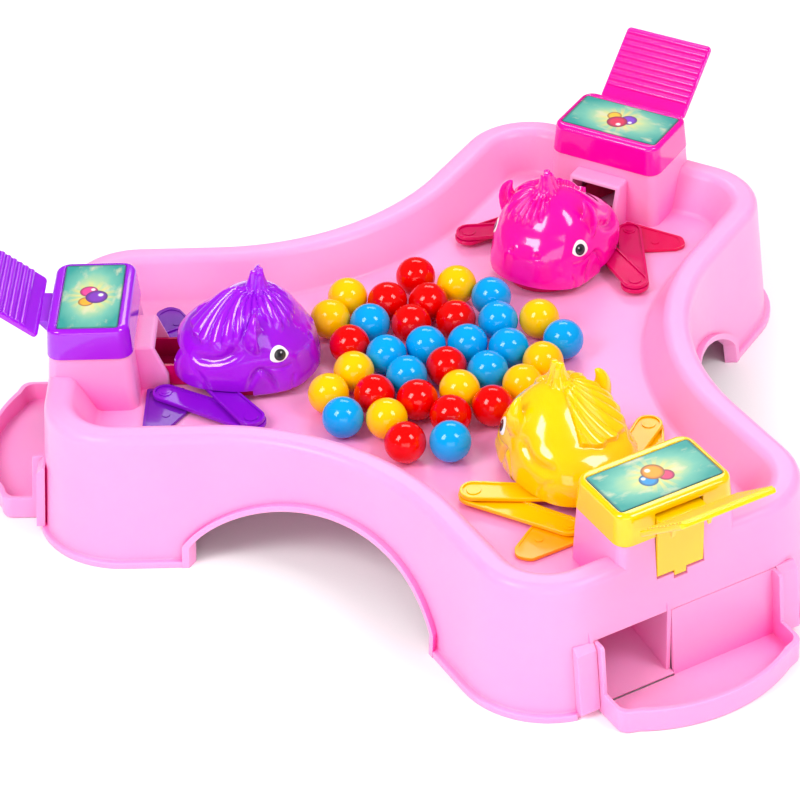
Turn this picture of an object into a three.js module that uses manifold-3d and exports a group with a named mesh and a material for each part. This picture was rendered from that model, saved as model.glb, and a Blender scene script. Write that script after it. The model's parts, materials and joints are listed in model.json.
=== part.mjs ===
import * as THREE from 'three';
import { mergeVertices } from 'three/addons/utils/BufferGeometryUtils.js';
import Module from 'manifold-3d';

const wasm = await Module();
wasm.setup();

// A three-player ball chomping game: a moulded tray with three lobes. Each lobe has a tower with a
// cap, a pedal lever, a lunging creature head on folding legs, and a catch tray on the outer wall.
// Millimetres, +Z up. The origin is in the middle of the tray floor's top face.
// A station's own frame has x outwards along its lobe and y sideways.

// Gaps between pieces
const SEAT_GAP = 0.3;
const SLIDE_GAP = 0.4;
const PIN_GAP = 0.3;
const CUT_OVERRUN = 1;

// Balls
const BALL_DIAMETER = 20;

// Tray outline at the outer edge of the rim
const LOBE_REACH = 196;
const LOBE_HALF_WIDTH = 82.5;
const LOBE_CORNER_RADIUS = 36;
const WAIST_REACH = 114.5;

// Tray heights and walls
const FLOOR_HEIGHT = 50;
const FLOOR_THICKNESS = 2.4;
const FLOOR_FILLET = 1.8;
const RIM_RISE = 20;
const RIM_WIDTH = 13;
const RIM_ROUND = 3.5;
const INNER_WALL_RUN = 10;
const WALL = 2.4;
const DRAFT_RUN = 6.3;
const LIP_HEIGHT = 3.2;
const LIP_WIDTH = 3;

// Arches between the feet of the tray
const ARCH_HALF_WIDTH = 69;
const ARCH_HEIGHT = 37.3;
const ARCH_STEP_HEIGHT = 11;

// Tower
const TOWER_INNER_REACH = 155;
const TOWER_HALF_WIDTH = 30.2;
const TOWER_RISE = 29.5;
const TOWER_SPREAD = 1.4;
const TOWER_EDGE_RADIUS = 5;
const BALL_DROP_INNER_SIDE = 7;

// Hood over the neck
const NECK_DOOR_WIDTH = 25;
const NECK_DOOR_RISE = 22.6;
const HOOD_REACH = 139.6;
const HOOD_TOP_RISE = 24.6;
const HOOD_WALL = 2;
const HOOD_ROOF_RUN = 9.5;
const HOOD_CHEEK_RISE = 8;

// Window, chute and guides of the catch tray
const WINDOW_HEIGHT = 38;
const WINDOW_LEFT_SIDE = 47;
const WINDOW_RIGHT_SIDE = 51;
const CHUTE_SIDE = 8;
const CHUTE_MOUTH_HEIGHT = 4;
const CHUTE_DROP = 7;
const CHUTE_WALL = 2;
const GUIDE_WIDTH = 10;
const GUIDE_PROUD = 3;

// Catch tray
const CATCH_DEPTH_AT_SIDE = 22;
const CATCH_BULGE = 11;
const CATCH_CORNER_RADIUS = 8;
const CATCH_WALL_HEIGHT = 12;
const CATCH_WALL = 2;
const CATCH_FLANGE_DEPTH = 6;

// Cap and picture plate
const CAP_RISE = 16;
const CAP_WALL = 1.8;
const CAP_SPREAD = 0.9;
const CAP_TAPER = 1.2;
const CAP_ROUND = 2;
const CAP_EDGE_RADIUS = 7;
const PLATE_LENGTH = 54;
const PLATE_WIDTH = 29;
const PLATE_THICKNESS = 0.5;
const PLATE_RECESS = 1;

// Pedal lever and its pin
const PIVOT_INSET = 10;
const PIVOT_RISE = 38;
const KNUCKLE_RADIUS = 4;
const LEVER_PIN_RADIUS = 1.5;
const LEVER_EAR_THICKNESS = 2.6;
const WEB_WIDTH = 24.4;
const WEB_THICKNESS = 2.4;
const WEB_FOOT_RISE = 8;
const WEB_TAB_WIDTH = 6.4;
const WEB_TAB_LENGTH = 3;
const PAD_WIDTH = 49;
const PAD_LENGTH = 42;
const PAD_THICKNESS = 2.6;
const PAD_SLOPE_DEG = 39;
const PAD_STAND_OFF = 2.2;
const PAD_RIB_COUNT = 11;
const PAD_RIB_HEIGHT = 0.9;

// Carriage: lower jaw, neck trough and tail
const SLIDE_THICKNESS = 1.6;
const JAW_FRONT_REACH = 72;
const JAW_LENGTH = 56.5;
const JAW_WIDTH = 45;
const JAW_RISE = 4.2;
const JAW_LIP_RISE = 5.9;
const NECK_START_REACH = 118;
const NECK_END_REACH = 160;
const NECK_WALL = 1.5;
const NECK_RISE = 12;
const HINGE_REACH = 128;
const HINGE_RISE = 12.5;
const HINGE_EAR_RADIUS = 4;
const HINGE_PEG_RADIUS = 1.6;
const HIP_LUG_RADIUS = 3.6;
const HIP_PEG_RADIUS = 1.8;
const TAIL_THICKNESS = 2.2;
const TAIL_RISE = 16;
const TAIL_FREE_PLAY = 1.9;
const DEFLECTOR_END_SHARE = 0.4;

// Return spring
const SPRING_DIAMETER = 8;
const SPRING_WIRE = 1;
const SPRING_CURLS = 6;
const SPRING_SIDE = 20;
const SPRING_RISE = 10;

// Head shell
const HEAD_LENGTH = 73;
const HEAD_WIDTH = 57;
const HEAD_HEIGHT = 48.5;
const SNOUT_REACH = 66;
const HEAD_WALL = 2.2;
const HEAD_FOOT_RISE = 3;
const LIP_RISE = 8;
const LIP_RUN = 26;
const HORN_REACH = 95;
const HORN_RISE = 60;
const HORN_ROOT_RISE = 42;
const HORN_RADIUS = 4.6;
const HORN_TIP_RADIUS = 1.3;
const EAR_REACH = 92;
const EAR_SIDE = 19;
const EAR_RISE = 46;
const EAR_ROOT_RISE = 31;
const EAR_ROOT_SIDE = 14;
const EAR_RADIUS = 5.6;
const EYE_REACH = 83;
const EYE_SIDE = 23;
const EYE_RISE = 24;
const EYE_RADIUS = 4.8;
const RIDGE_RADIUS = 1.5;

// Legs
const FOOT_PIVOT_REACH = 141;
const FOOT_PIVOT_SIDE = 23;
const KNEE_REACH = 98;
const KNEE_SIDE = 48;
const HIP_REACH = 118;
const HIP_SIDE = 19;
const FOOT_THICKNESS = 1.8;
const FOOT_TIP_SIDE = 54;
const FOOT_BACK_REACH = 150.5;
const FOOT_FRONT_REACH = 129;
const LEG_THICKNESS = 2.2;
const LEG_LAYER_GAP = 0.3;
const SHIN_FOOT_RADIUS = 6.2;
const SHIN_KNEE_RADIUS = 7.2;
const THIGH_KNEE_RADIUS = 6.6;
const THIGH_HIP_RADIUS = 5.6;
const LEG_PEG_RADIUS = 2;
const LEG_RIM = 1.3;
const LEG_RECESS = 0.7;

// Facet counts
const CORNER_STEPS = 4;
const WAIST_STEPS = 6;
const SMALL_STEPS = 3;
const ROUND_SEGMENTS = 8;
const HEAD_SEGMENTS = 18;
const SPRING_STEPS_PER_CURL = 8;
const SPRING_WIRE_SIDES = 5;

const STATIONS = [
  { colour: 'purple', angle: 180, hex: 0xa016e0 },
  { colour: 'magenta', angle: 60, hex: 0xff1aa8 },
  { colour: 'yellow', angle: -60, hex: 0xffd800 },
];
const BALL_HEX = { red: 0xe30613, yellow: 0xffd21a, blue: 0x0a8fe0 };

// Ball places on the tray floor, as shares of a ball's diameter
const BALL_PLACE_SHARES = [
  ['red', -0.99, 3.14],
  ['blue', 0.90, 2.16],
  ['yellow', -2.69, 2.28],
  ['yellow', 2.07, 1.14],
  ['blue', 2.63, 0.23],
  ['red', -2.60, 0.22],
  ['yellow', 1.60, -1.61],
  ['yellow', -3.06, -1.80],
  ['blue', -0.73, 0.09],
  ['red', 0.86, -2.44],
  ['blue', -2.69, -2.77],
  ['red', -1.21, -3.81],
  ['blue', -0.15, -3.81],
  ['red', 0.01, 1.18],
  ['blue', 1.29, -0.08],
  ['yellow', -1.65, -2.86],
  ['red', -1.09, 1.05],
];

// Outer form of a head from its foot to its crown: height, front, back and width as shares of the
// head's height, length, length and width
const HEAD_RING_SHARES = [
  [0.000, 0.030, 0.970, 0.930],
  [0.090, 0.008, 0.985, 0.975],
  [0.210, 0.000, 1.000, 1.000],
  [0.340, 0.020, 0.990, 0.995],
  [0.460, 0.040, 0.950, 0.965],
  [0.570, 0.070, 0.880, 0.910],
  [0.700, 0.110, 0.760, 0.810],
  [0.820, 0.170, 0.600, 0.640],
  [0.920, 0.235, 0.530, 0.450],
  [0.980, 0.320, 0.470, 0.220],
];
const HEAD_SQUARENESS = 2.4;

// Mane ridges of a head: starts and ends as shares of the head's length from the snout, width from
// its middle and height from the floor
const RIDGE_SHARES = [
  { from: [0.40, 0.00, 0.98], via: [0.60, 0.00, 0.86], to: [0.82, 0.00, 0.54] },
  { from: [0.38, 0.10, 0.96], via: [0.58, 0.17, 0.82], to: [0.78, 0.24, 0.50] },
  { from: [0.36, 0.17, 0.90], via: [0.52, 0.30, 0.72], to: [0.68, 0.36, 0.50] },
];

// Small tools for solids

function signedVolume(geometry) {
  const place = geometry.getAttribute('position');
  const index = geometry.getIndex();
  const corners = [new THREE.Vector3(), new THREE.Vector3(), new THREE.Vector3()];
  let volume = 0;
  for (let i = 0; i < index.count; i += 3) {
    corners.forEach((corner, k) => corner.fromBufferAttribute(place, index.getX(i + k)));
    volume += corners[0].dot(corners[1].clone().cross(corners[2])) / 6;
  }
  return volume;
}

function toSolid(source) {
  const geometry = source.clone();
  geometry.deleteAttribute('normal');
  geometry.deleteAttribute('uv');
  const merged = mergeVertices(geometry);
  if (signedVolume(merged) < 0) {
    merged.getIndex().array.reverse();
  }
  const mesh = new wasm.Mesh({
    numProp: 3,
    vertProperties: new Float32Array(merged.getAttribute('position').array),
    triVerts: new Uint32Array(merged.getIndex().array),
  });
  return new wasm.Manifold(mesh);
}

function toGeometry(solid) {
  const mesh = solid.getMesh();
  const geometry = new THREE.BufferGeometry();
  geometry.setAttribute('position', new THREE.BufferAttribute(new Float32Array(mesh.vertProperties), 3));
  geometry.setIndex(new THREE.BufferAttribute(new Uint32Array(mesh.triVerts), 1));
  geometry.computeVertexNormals();
  return geometry;
}

function joined(solids) {
  return solids.reduce((sum, next) => sum.add(next));
}

function block(xLow, xHigh, yLow, yHigh, zLow, zHigh) {
  const box = new THREE.BoxGeometry(xHigh - xLow, yHigh - yLow, zHigh - zLow);
  return toSolid(box.translate((xLow + xHigh) / 2, (yLow + yHigh) / 2, (zLow + zHigh) / 2));
}

// A flat plate of the given plan outline between two heights
function plate(outline, zLow, zHigh, holes = []) {
  const shape = new THREE.Shape(outline);
  shape.holes = holes.map((hole) => new THREE.Path(hole));
  const slab = new THREE.ExtrudeGeometry(shape, { depth: zHigh - zLow, bevelEnabled: false });
  return toSolid(slab.translate(0, 0, zLow));
}

// A solid of the given side profile in x and z, between two sides
function acrossProfile(outline, yLow, yHigh) {
  const slab = new THREE.ExtrudeGeometry(new THREE.Shape(outline), { depth: yHigh - yLow, bevelEnabled: false });
  return toSolid(slab.rotateX(Math.PI / 2).translate(0, yHigh, 0));
}

function crossRod(radius, x, z, yLow, yHigh) {
  const rod = new THREE.CylinderGeometry(radius, radius, yHigh - yLow, ROUND_SEGMENTS);
  return toSolid(rod.translate(x, (yLow + yHigh) / 2, z));
}

function post(radius, x, y, zLow, zHigh) {
  const rod = new THREE.CylinderGeometry(radius, radius, zHigh - zLow, ROUND_SEGMENTS);
  return toSolid(rod.rotateX(Math.PI / 2).translate(x, y, (zLow + zHigh) / 2));
}

// A closed solid through a stack of rings with the same number of points
function throughRings(rings) {
  const count = rings[0].length;
  const points = rings.flat();
  const index = [];
  for (let r = 0; r + 1 < rings.length; r += 1) {
    for (let i = 0; i < count; i += 1) {
      const next = (i + 1) % count;
      const low = r * count;
      const high = low + count;
      index.push(low + i, low + next, high + next, low + i, high + next, high + i);
    }
  }
  const firstCentre = points.push(centreOf(rings[0])) - 1;
  const lastCentre = points.push(centreOf(rings[rings.length - 1])) - 1;
  const lastRing = (rings.length - 1) * count;
  for (let i = 0; i < count; i += 1) {
    const next = (i + 1) % count;
    index.push(firstCentre, next, i);
    index.push(lastCentre, lastRing + i, lastRing + next);
  }
  const geometry = new THREE.BufferGeometry().setFromPoints(points);
  geometry.setIndex(index);
  return toSolid(geometry);
}

function centreOf(points) {
  const sum = points.reduce((total, point) => total.add(point), new THREE.Vector3());
  return sum.divideScalar(points.length);
}

function arcPoints(x, y, radius, fromDeg, toDeg, steps) {
  const points = [];
  for (let i = 0; i <= steps; i += 1) {
    const angle = THREE.MathUtils.degToRad(fromDeg + ((toDeg - fromDeg) * i) / steps);
    points.push(new THREE.Vector2(x + radius * Math.cos(angle), y + radius * Math.sin(angle)));
  }
  return points;
}

function roundedRectangle(xLow, xHigh, halfWidth, radius, steps = SMALL_STEPS) {
  return [
    ...arcPoints(xHigh - radius, halfWidth - radius, radius, 0, 90, steps),
    ...arcPoints(xLow + radius, halfWidth - radius, radius, 90, 180, steps),
    ...arcPoints(xLow + radius, radius - halfWidth, radius, 180, 270, steps),
    ...arcPoints(xHigh - radius, radius - halfWidth, radius, 270, 360, steps),
  ];
}

function ringAt(outline, z) {
  return outline.map((point) => new THREE.Vector3(point.x, point.y, z));
}

function mirrored(outline) {
  return outline.map((point) => new THREE.Vector2(point.x, -point.y));
}

// Tray outline

const RIM_SHOULDER = RIM_RISE - RIM_ROUND;
const THIRD_TURN = 120;
const WAIST_RADIUS = (WAIST_REACH * Math.sin(Math.PI / 3) - LOBE_HALF_WIDTH) / (1 - Math.sin(Math.PI / 3));

// Reach of the outer wall's face at a height above the tray floor
function wallReach(z) {
  return LOBE_REACH + (DRAFT_RUN * (RIM_SHOULDER - z)) / (RIM_SHOULDER + FLOOR_HEIGHT);
}

function trayOutline(offset) {
  const cornerX = LOBE_REACH - LOBE_CORNER_RADIUS;
  const cornerY = LOBE_HALF_WIDTH - LOBE_CORNER_RADIUS;
  const cornerRadius = LOBE_CORNER_RADIUS + offset;
  const waistCentre = WAIST_REACH + WAIST_RADIUS;
  const waistX = waistCentre * Math.cos(Math.PI / 3);
  const waistY = waistCentre * Math.sin(Math.PI / 3);
  const lobe = [
    ...arcPoints(cornerX, -cornerY, cornerRadius, -90, 0, CORNER_STEPS),
    ...arcPoints(cornerX, cornerY, cornerRadius, 0, 90, CORNER_STEPS),
    ...arcPoints(waistX, waistY, WAIST_RADIUS - offset, -90, -150, WAIST_STEPS),
  ];
  return STATIONS.flatMap((station, turn) => {
    const angle = THREE.MathUtils.degToRad(STATIONS[0].angle + THIRD_TURN * turn);
    return lobe.map((point) => point.clone().rotateAround(new THREE.Vector2(), angle));
  });
}

function trayShell() {
  const floorInset = RIM_WIDTH + INNER_WALL_RUN;
  const lipTop = LIP_HEIGHT - FLOOR_HEIGHT;
  const section = [
    [-floorInset - FLOOR_FILLET, 0],
    [-floorInset + FLOOR_FILLET / 2, FLOOR_FILLET],
    [-RIM_WIDTH - RIM_ROUND / 3, RIM_SHOULDER],
    [-RIM_WIDTH + RIM_ROUND / 4, RIM_RISE - RIM_ROUND / 4],
    [-RIM_WIDTH + RIM_ROUND, RIM_RISE],
    [-RIM_ROUND, RIM_RISE],
    [-RIM_ROUND / 4, RIM_RISE - RIM_ROUND / 4],
    [0, RIM_SHOULDER],
    [wallReach(lipTop) - LOBE_REACH, lipTop],
    [wallReach(lipTop) - LOBE_REACH + LIP_WIDTH, lipTop],
    [wallReach(lipTop) - LOBE_REACH + LIP_WIDTH, -FLOOR_HEIGHT],
    [DRAFT_RUN - WALL, -FLOOR_HEIGHT],
    [-WALL, RIM_SHOULDER - RIM_ROUND / 2],
    [-RIM_ROUND - WALL / 2, RIM_RISE - WALL],
    [-RIM_WIDTH + RIM_ROUND + WALL / 2, RIM_RISE - WALL],
    [-RIM_WIDTH + WALL, RIM_SHOULDER - RIM_ROUND / 2],
    [-floorInset + WALL, -FLOOR_THICKNESS],
  ];
  return throughRings(section.map(([offset, z]) => ringAt(trayOutline(offset), z)));
}

function archOutline(grow) {
  const halfWidth = ARCH_HALF_WIDTH + grow;
  const height = ARCH_HEIGHT + grow;
  const stepTurn = Math.asin(ARCH_STEP_HEIGHT / ARCH_HEIGHT);
  const points = [new THREE.Vector2(halfWidth * Math.cos(stepTurn), -CUT_OVERRUN)];
  const steps = CORNER_STEPS + WAIST_STEPS;
  for (let i = 0; i <= steps; i += 1) {
    const angle = stepTurn + ((Math.PI - stepTurn * 2) * i) / steps;
    points.push(new THREE.Vector2(halfWidth * Math.cos(angle), height * Math.sin(angle)));
  }
  points.push(new THREE.Vector2(-halfWidth * Math.cos(stepTurn), -CUT_OVERRUN));
  return points;
}

// A tunnel of the arch's outline that runs outwards along x through one waist
function archTunnel(grow) {
  const tunnel = new THREE.ExtrudeGeometry(new THREE.Shape(archOutline(grow)), {
    depth: LOBE_REACH - WAIST_REACH / 2,
    bevelEnabled: false,
    curveSegments: 1,
  });
  tunnel.rotateX(Math.PI / 2).rotateZ(Math.PI / 2);
  return toSolid(tunnel.translate(WAIST_REACH / 2, 0, -FLOOR_HEIGHT));
}

// The raised edge that follows an arch on the face of the outer wall
function archEdge() {
  const top = ARCH_HEIGHT + LIP_WIDTH + CUT_OVERRUN - FLOOR_HEIGHT;
  const band = [
    [DRAFT_RUN - WALL / 2, -FLOOR_HEIGHT],
    [DRAFT_RUN + LIP_WIDTH, -FLOOR_HEIGHT],
    [wallReach(top) - LOBE_REACH + LIP_WIDTH, top],
    [wallReach(top) - LOBE_REACH - WALL / 2, top],
  ];
  const outer = throughRings([band[1], band[2]].map(([offset, z]) => ringAt(trayOutline(offset), z)));
  const inner = throughRings([band[0], band[3]].map(([offset, z]) => ringAt(trayOutline(offset), z)));
  return archTunnel(LIP_WIDTH).intersect(outer).subtract(inner);
}

// Station features of the tray moulding, in the station's frame

const TOWER_SHARE_PER_RISE = TOWER_SPREAD / TOWER_RISE;

function towerRing(z, inset) {
  const spread = TOWER_SHARE_PER_RISE * (TOWER_RISE - z);
  const outline = roundedRectangle(
    TOWER_INNER_REACH - spread + inset,
    wallReach(z) - inset,
    TOWER_HALF_WIDTH + spread - inset,
    TOWER_EDGE_RADIUS - inset,
  );
  return ringAt(outline, z);
}

function towerBlock() {
  return throughRings([towerRing(-FLOOR_THICKNESS, 0), towerRing(TOWER_RISE, 0)]);
}

function towerCavity() {
  return throughRings([towerRing(0, WALL), towerRing(TOWER_RISE + CUT_OVERRUN, WALL)]);
}

function ballDrop() {
  const spread = TOWER_HALF_WIDTH + TOWER_SPREAD - WALL;
  return block(
    TOWER_INNER_REACH - TOWER_SPREAD + WALL,
    wallReach(0) - WALL,
    -spread,
    -BALL_DROP_INNER_SIDE,
    -FLOOR_HEIGHT,
    CUT_OVERRUN,
  );
}

function leverSlot() {
  const halfWidth = WEB_WIDTH / 2 + SLIDE_GAP;
  const tabHalfWidth = WEB_TAB_WIDTH / 2 + SLIDE_GAP;
  const xLow = wallReach(0) - WALL - CUT_OVERRUN - TOWER_EDGE_RADIUS;
  const xHigh = wallReach(0) + CUT_OVERRUN;
  const slotFoot = WEB_FOOT_RISE - PIN_GAP * 4;
  return joined([
    block(xLow, xHigh, -halfWidth, halfWidth, slotFoot, TOWER_RISE + CUT_OVERRUN),
    block(xLow, xHigh, -tabHalfWidth, tabHalfWidth, slotFoot - WEB_TAB_LENGTH, TOWER_RISE),
  ]);
}

function neckDoor() {
  const halfWidth = NECK_DOOR_WIDTH / 2;
  const xLow = HOOD_REACH - CUT_OVERRUN;
  const xHigh = TOWER_INNER_REACH + WALL + CUT_OVERRUN;
  return block(xLow, xHigh, -halfWidth, halfWidth, 0, NECK_DOOR_RISE);
}

function hood() {
  const back = TOWER_INNER_REACH + WALL / 4;
  const roofFront = back - HOOD_ROOF_RUN;
  const outerHalf = NECK_DOOR_WIDTH / 2 + HOOD_WALL;
  const cheek = [
    new THREE.Vector2(HOOD_REACH, -FLOOR_THICKNESS / 2),
    new THREE.Vector2(back, -FLOOR_THICKNESS / 2),
    new THREE.Vector2(back, HOOD_TOP_RISE),
    new THREE.Vector2(roofFront, HOOD_TOP_RISE),
    new THREE.Vector2(HOOD_REACH, HOOD_CHEEK_RISE),
  ];
  const halfDoor = NECK_DOOR_WIDTH / 2;
  const passage = block(HOOD_REACH - CUT_OVERRUN, back, -halfDoor, halfDoor, 0, NECK_DOOR_RISE);
  return acrossProfile(cheek, -outerHalf, outerHalf).subtract(passage);
}

const EAR_INNER_SIDE = WEB_WIDTH / 2 + SLIDE_GAP;
const PIVOT_REACH = LOBE_REACH - PIVOT_INSET;

// Two ears inside the tower that carry the lever's pin
function leverEars() {
  const top = PIVOT_RISE + KNUCKLE_RADIUS;
  const outline = [
    new THREE.Vector2(PIVOT_REACH - KNUCKLE_RADIUS, PIVOT_RISE - KNUCKLE_RADIUS * 2),
    new THREE.Vector2(wallReach(RIM_RISE) - WALL / 2, TAIL_RISE + WALL),
    new THREE.Vector2(wallReach(TOWER_RISE) - WALL / 2, TOWER_RISE),
    new THREE.Vector2(PIVOT_REACH + KNUCKLE_RADIUS, TOWER_RISE + SEAT_GAP),
    new THREE.Vector2(PIVOT_REACH + KNUCKLE_RADIUS, PIVOT_RISE),
    ...arcPoints(PIVOT_REACH, PIVOT_RISE, top - PIVOT_RISE, 45, 180, SMALL_STEPS),
  ];
  const outerSide = EAR_INNER_SIDE + LEVER_EAR_THICKNESS;
  return [
    acrossProfile(outline, EAR_INNER_SIDE, outerSide),
    acrossProfile(outline, -outerSide, -EAR_INNER_SIDE),
  ];
}

function leverPinBore() {
  const reach = EAR_INNER_SIDE + LEVER_EAR_THICKNESS + CUT_OVERRUN;
  return crossRod(LEVER_PIN_RADIUS + PIN_GAP, PIVOT_REACH, PIVOT_RISE, -reach, reach);
}

const CHUTE_BACK_REACH = TOWER_INNER_REACH - TOWER_SPREAD;

// Sloping floor and walls of the chute under the tower
function chute() {
  const mouth = CHUTE_MOUTH_HEIGHT - FLOOR_HEIGHT;
  const front = wallReach(mouth) - WALL - SLIDE_GAP;
  const spout = wallReach(-FLOOR_HEIGHT);
  const spoutTop = mouth - ((spout - front) * CHUTE_DROP) / (front - CHUTE_BACK_REACH);
  const top = -FLOOR_THICKNESS / 3;
  const ramp = [
    new THREE.Vector2(CHUTE_BACK_REACH, mouth + CHUTE_DROP),
    new THREE.Vector2(CHUTE_BACK_REACH, mouth + CHUTE_DROP - CHUTE_WALL),
    new THREE.Vector2(front, mouth - CHUTE_WALL),
    new THREE.Vector2(front, mouth),
  ];
  const lip = [
    new THREE.Vector2(front - CHUTE_WALL, mouth),
    new THREE.Vector2(front - CHUTE_WALL, mouth - CHUTE_WALL / 2),
    new THREE.Vector2(spout, spoutTop - CHUTE_WALL / 2),
    new THREE.Vector2(spout, spoutTop),
    new THREE.Vector2(front, mouth),
  ];
  const left = -WINDOW_LEFT_SIDE;
  const right = -CHUTE_SIDE;
  const side = [
    new THREE.Vector2(CHUTE_BACK_REACH, mouth + CHUTE_DROP - CHUTE_WALL),
    new THREE.Vector2(front, mouth - CHUTE_WALL),
    new THREE.Vector2(front, top - WINDOW_HEIGHT / 4),
    new THREE.Vector2(wallReach(top) - WALL / 2, top),
    new THREE.Vector2(CHUTE_BACK_REACH, top),
  ];
  return [
    acrossProfile(ramp, left - CHUTE_WALL, right + CHUTE_WALL),
    acrossProfile(lip, left + CATCH_WALL + SLIDE_GAP * 2, right + CHUTE_WALL),
    acrossProfile(side, left - CHUTE_WALL, left),
    acrossProfile(side, right, right + CHUTE_WALL),
    block(
      CHUTE_BACK_REACH,
      CHUTE_BACK_REACH + CHUTE_WALL,
      left - CHUTE_WALL,
      right + CHUTE_WALL,
      mouth + CHUTE_DROP - CHUTE_WALL,
      top,
    ),
  ];
}

function windowCut() {
  const low = -FLOOR_HEIGHT - CUT_OVERRUN;
  const lipReach = wallReach(-FLOOR_HEIGHT) + LIP_WIDTH + CUT_OVERRUN;
  const xLow = wallReach(WINDOW_HEIGHT - FLOOR_HEIGHT) - WALL - CUT_OVERRUN;
  return block(xLow, lipReach, -WINDOW_LEFT_SIDE, WINDOW_RIGHT_SIDE, low, WINDOW_HEIGHT - FLOOR_HEIGHT);
}

// The lip at the foot of the wall stops short of the catch tray's guides
function lipCut() {
  const reach = wallReach(LIP_HEIGHT - FLOOR_HEIGHT);
  const low = -FLOOR_HEIGHT - CUT_OVERRUN;
  const left = -WINDOW_LEFT_SIDE - GUIDE_WIDTH - CUT_OVERRUN;
  const right = WINDOW_RIGHT_SIDE + GUIDE_WIDTH + CUT_OVERRUN;
  return block(reach, reach + LIP_WIDTH + CUT_OVERRUN, left, right, low, LIP_HEIGHT - FLOOR_HEIGHT);
}

// Upright guides beside the window, with bevelled tops
function guides() {
  const foot = -FLOOR_HEIGHT;
  const top = WINDOW_HEIGHT - FLOOR_HEIGHT;
  const outline = [
    new THREE.Vector2(wallReach(foot) - WALL / 2, foot),
    new THREE.Vector2(wallReach(foot) + GUIDE_PROUD, foot),
    new THREE.Vector2(wallReach(top) + GUIDE_PROUD, top - GUIDE_PROUD),
    new THREE.Vector2(wallReach(top), top),
    new THREE.Vector2(wallReach(top) - WALL / 2, top),
  ];
  return [
    acrossProfile(outline, -WINDOW_LEFT_SIDE - GUIDE_WIDTH, -WINDOW_LEFT_SIDE),
    acrossProfile(outline, WINDOW_RIGHT_SIDE, WINDOW_RIGHT_SIDE + GUIDE_WIDTH),
  ];
}

function footHoles() {
  const low = -FLOOR_THICKNESS - CUT_OVERRUN;
  return [1, -1].map((side) =>
    post(LEG_PEG_RADIUS + PIN_GAP, FOOT_PEG_REACH, side * FOOT_PEG_SIDE, low, CUT_OVERRUN));
}

function turnedTo(solid, angleDeg) {
  return solid.rotate([0, 0, angleDeg]);
}

function baseTray() {
  let base = trayShell();
  STATIONS.forEach(({ angle }) => {
    const waist = angle + THIRD_TURN / 2;
    base = base.add(turnedTo(archEdge(), waist)).subtract(turnedTo(archTunnel(0), waist));
    base = base.add(turnedTo(joined([towerBlock(), ...guides()]), angle));
    base = base.subtract(turnedTo(joined([towerCavity(), ballDrop(), windowCut()]), angle));
    base = base.add(turnedTo(joined([...chute(), hood(), ...leverEars()]), angle));
    const cuts = joined([leverSlot(), neckDoor(), leverPinBore(), lipCut(), ...footHoles()]);
    base = base.subtract(turnedTo(cuts, angle));
  });
  return base;
}

// Cap: a lid with a recess for the picture plate

const CAP_FOOT = TOWER_RISE + SEAT_GAP;
const CAP_TOP = CAP_FOOT + CAP_RISE;
const CAP_CENTRE = (TOWER_INNER_REACH + wallReach(TOWER_RISE)) / 2;
const CAP_HALF_DEPTH = (wallReach(TOWER_RISE) - TOWER_INNER_REACH) / 2;

function capRing(z, inset, radius) {
  const taper = (CAP_TAPER * (z - CAP_FOOT)) / CAP_RISE;
  const depth = CAP_HALF_DEPTH + CAP_SPREAD - taper - inset;
  const halfWidth = TOWER_HALF_WIDTH + CAP_SPREAD - taper - inset;
  return ringAt(roundedRectangle(CAP_CENTRE - depth, CAP_CENTRE + depth, halfWidth, radius), z);
}

function recessRing(z, inset) {
  const depth = PLATE_WIDTH / 2 + SLIDE_GAP - inset;
  const halfWidth = PLATE_LENGTH / 2 + SLIDE_GAP - inset;
  return ringAt(roundedRectangle(CAP_CENTRE - depth, CAP_CENTRE + depth, halfWidth, CAP_ROUND), z);
}

function towerCap() {
  const innerRadius = CAP_EDGE_RADIUS - CAP_WALL;
  const shell = throughRings([
    recessRing(CAP_TOP - PLATE_RECESS, 0),
    recessRing(CAP_TOP, 0),
    capRing(CAP_TOP, CAP_ROUND, CAP_EDGE_RADIUS - CAP_ROUND),
    capRing(CAP_TOP - CAP_ROUND / 3, CAP_ROUND / 3, CAP_EDGE_RADIUS - CAP_ROUND / 2),
    capRing(CAP_TOP - CAP_ROUND, 0, CAP_EDGE_RADIUS),
    capRing(CAP_FOOT, 0, CAP_EDGE_RADIUS),
    capRing(CAP_FOOT, CAP_WALL, innerRadius),
    capRing(CAP_TOP - PLATE_RECESS - CAP_WALL, CAP_WALL, innerRadius),
  ]);
  const halfSlot = WEB_WIDTH / 2 + SLIDE_GAP;
  const slot = block(
    CAP_CENTRE + CAP_HALF_DEPTH - CAP_WALL * 2,
    CAP_CENTRE + CAP_HALF_DEPTH + CAP_WALL,
    -halfSlot,
    halfSlot,
    CAP_FOOT - CUT_OVERRUN,
    PIVOT_RISE + KNUCKLE_RADIUS + SEAT_GAP,
  );
  return shell.subtract(slot);
}

function picturePlate() {
  const outline = roundedRectangle(
    CAP_CENTRE - PLATE_WIDTH / 2,
    CAP_CENTRE + PLATE_WIDTH / 2,
    PLATE_LENGTH / 2,
    CAP_ROUND - SLIDE_GAP,
  );
  const low = CAP_TOP - PLATE_RECESS + SEAT_GAP;
  return plate(outline, low, low + PLATE_THICKNESS);
}

// Pedal lever: ribbed pad, web in the wall's slot, and knuckle on the pin

const WEB_REACH = wallReach(WEB_FOOT_RISE);

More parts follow.
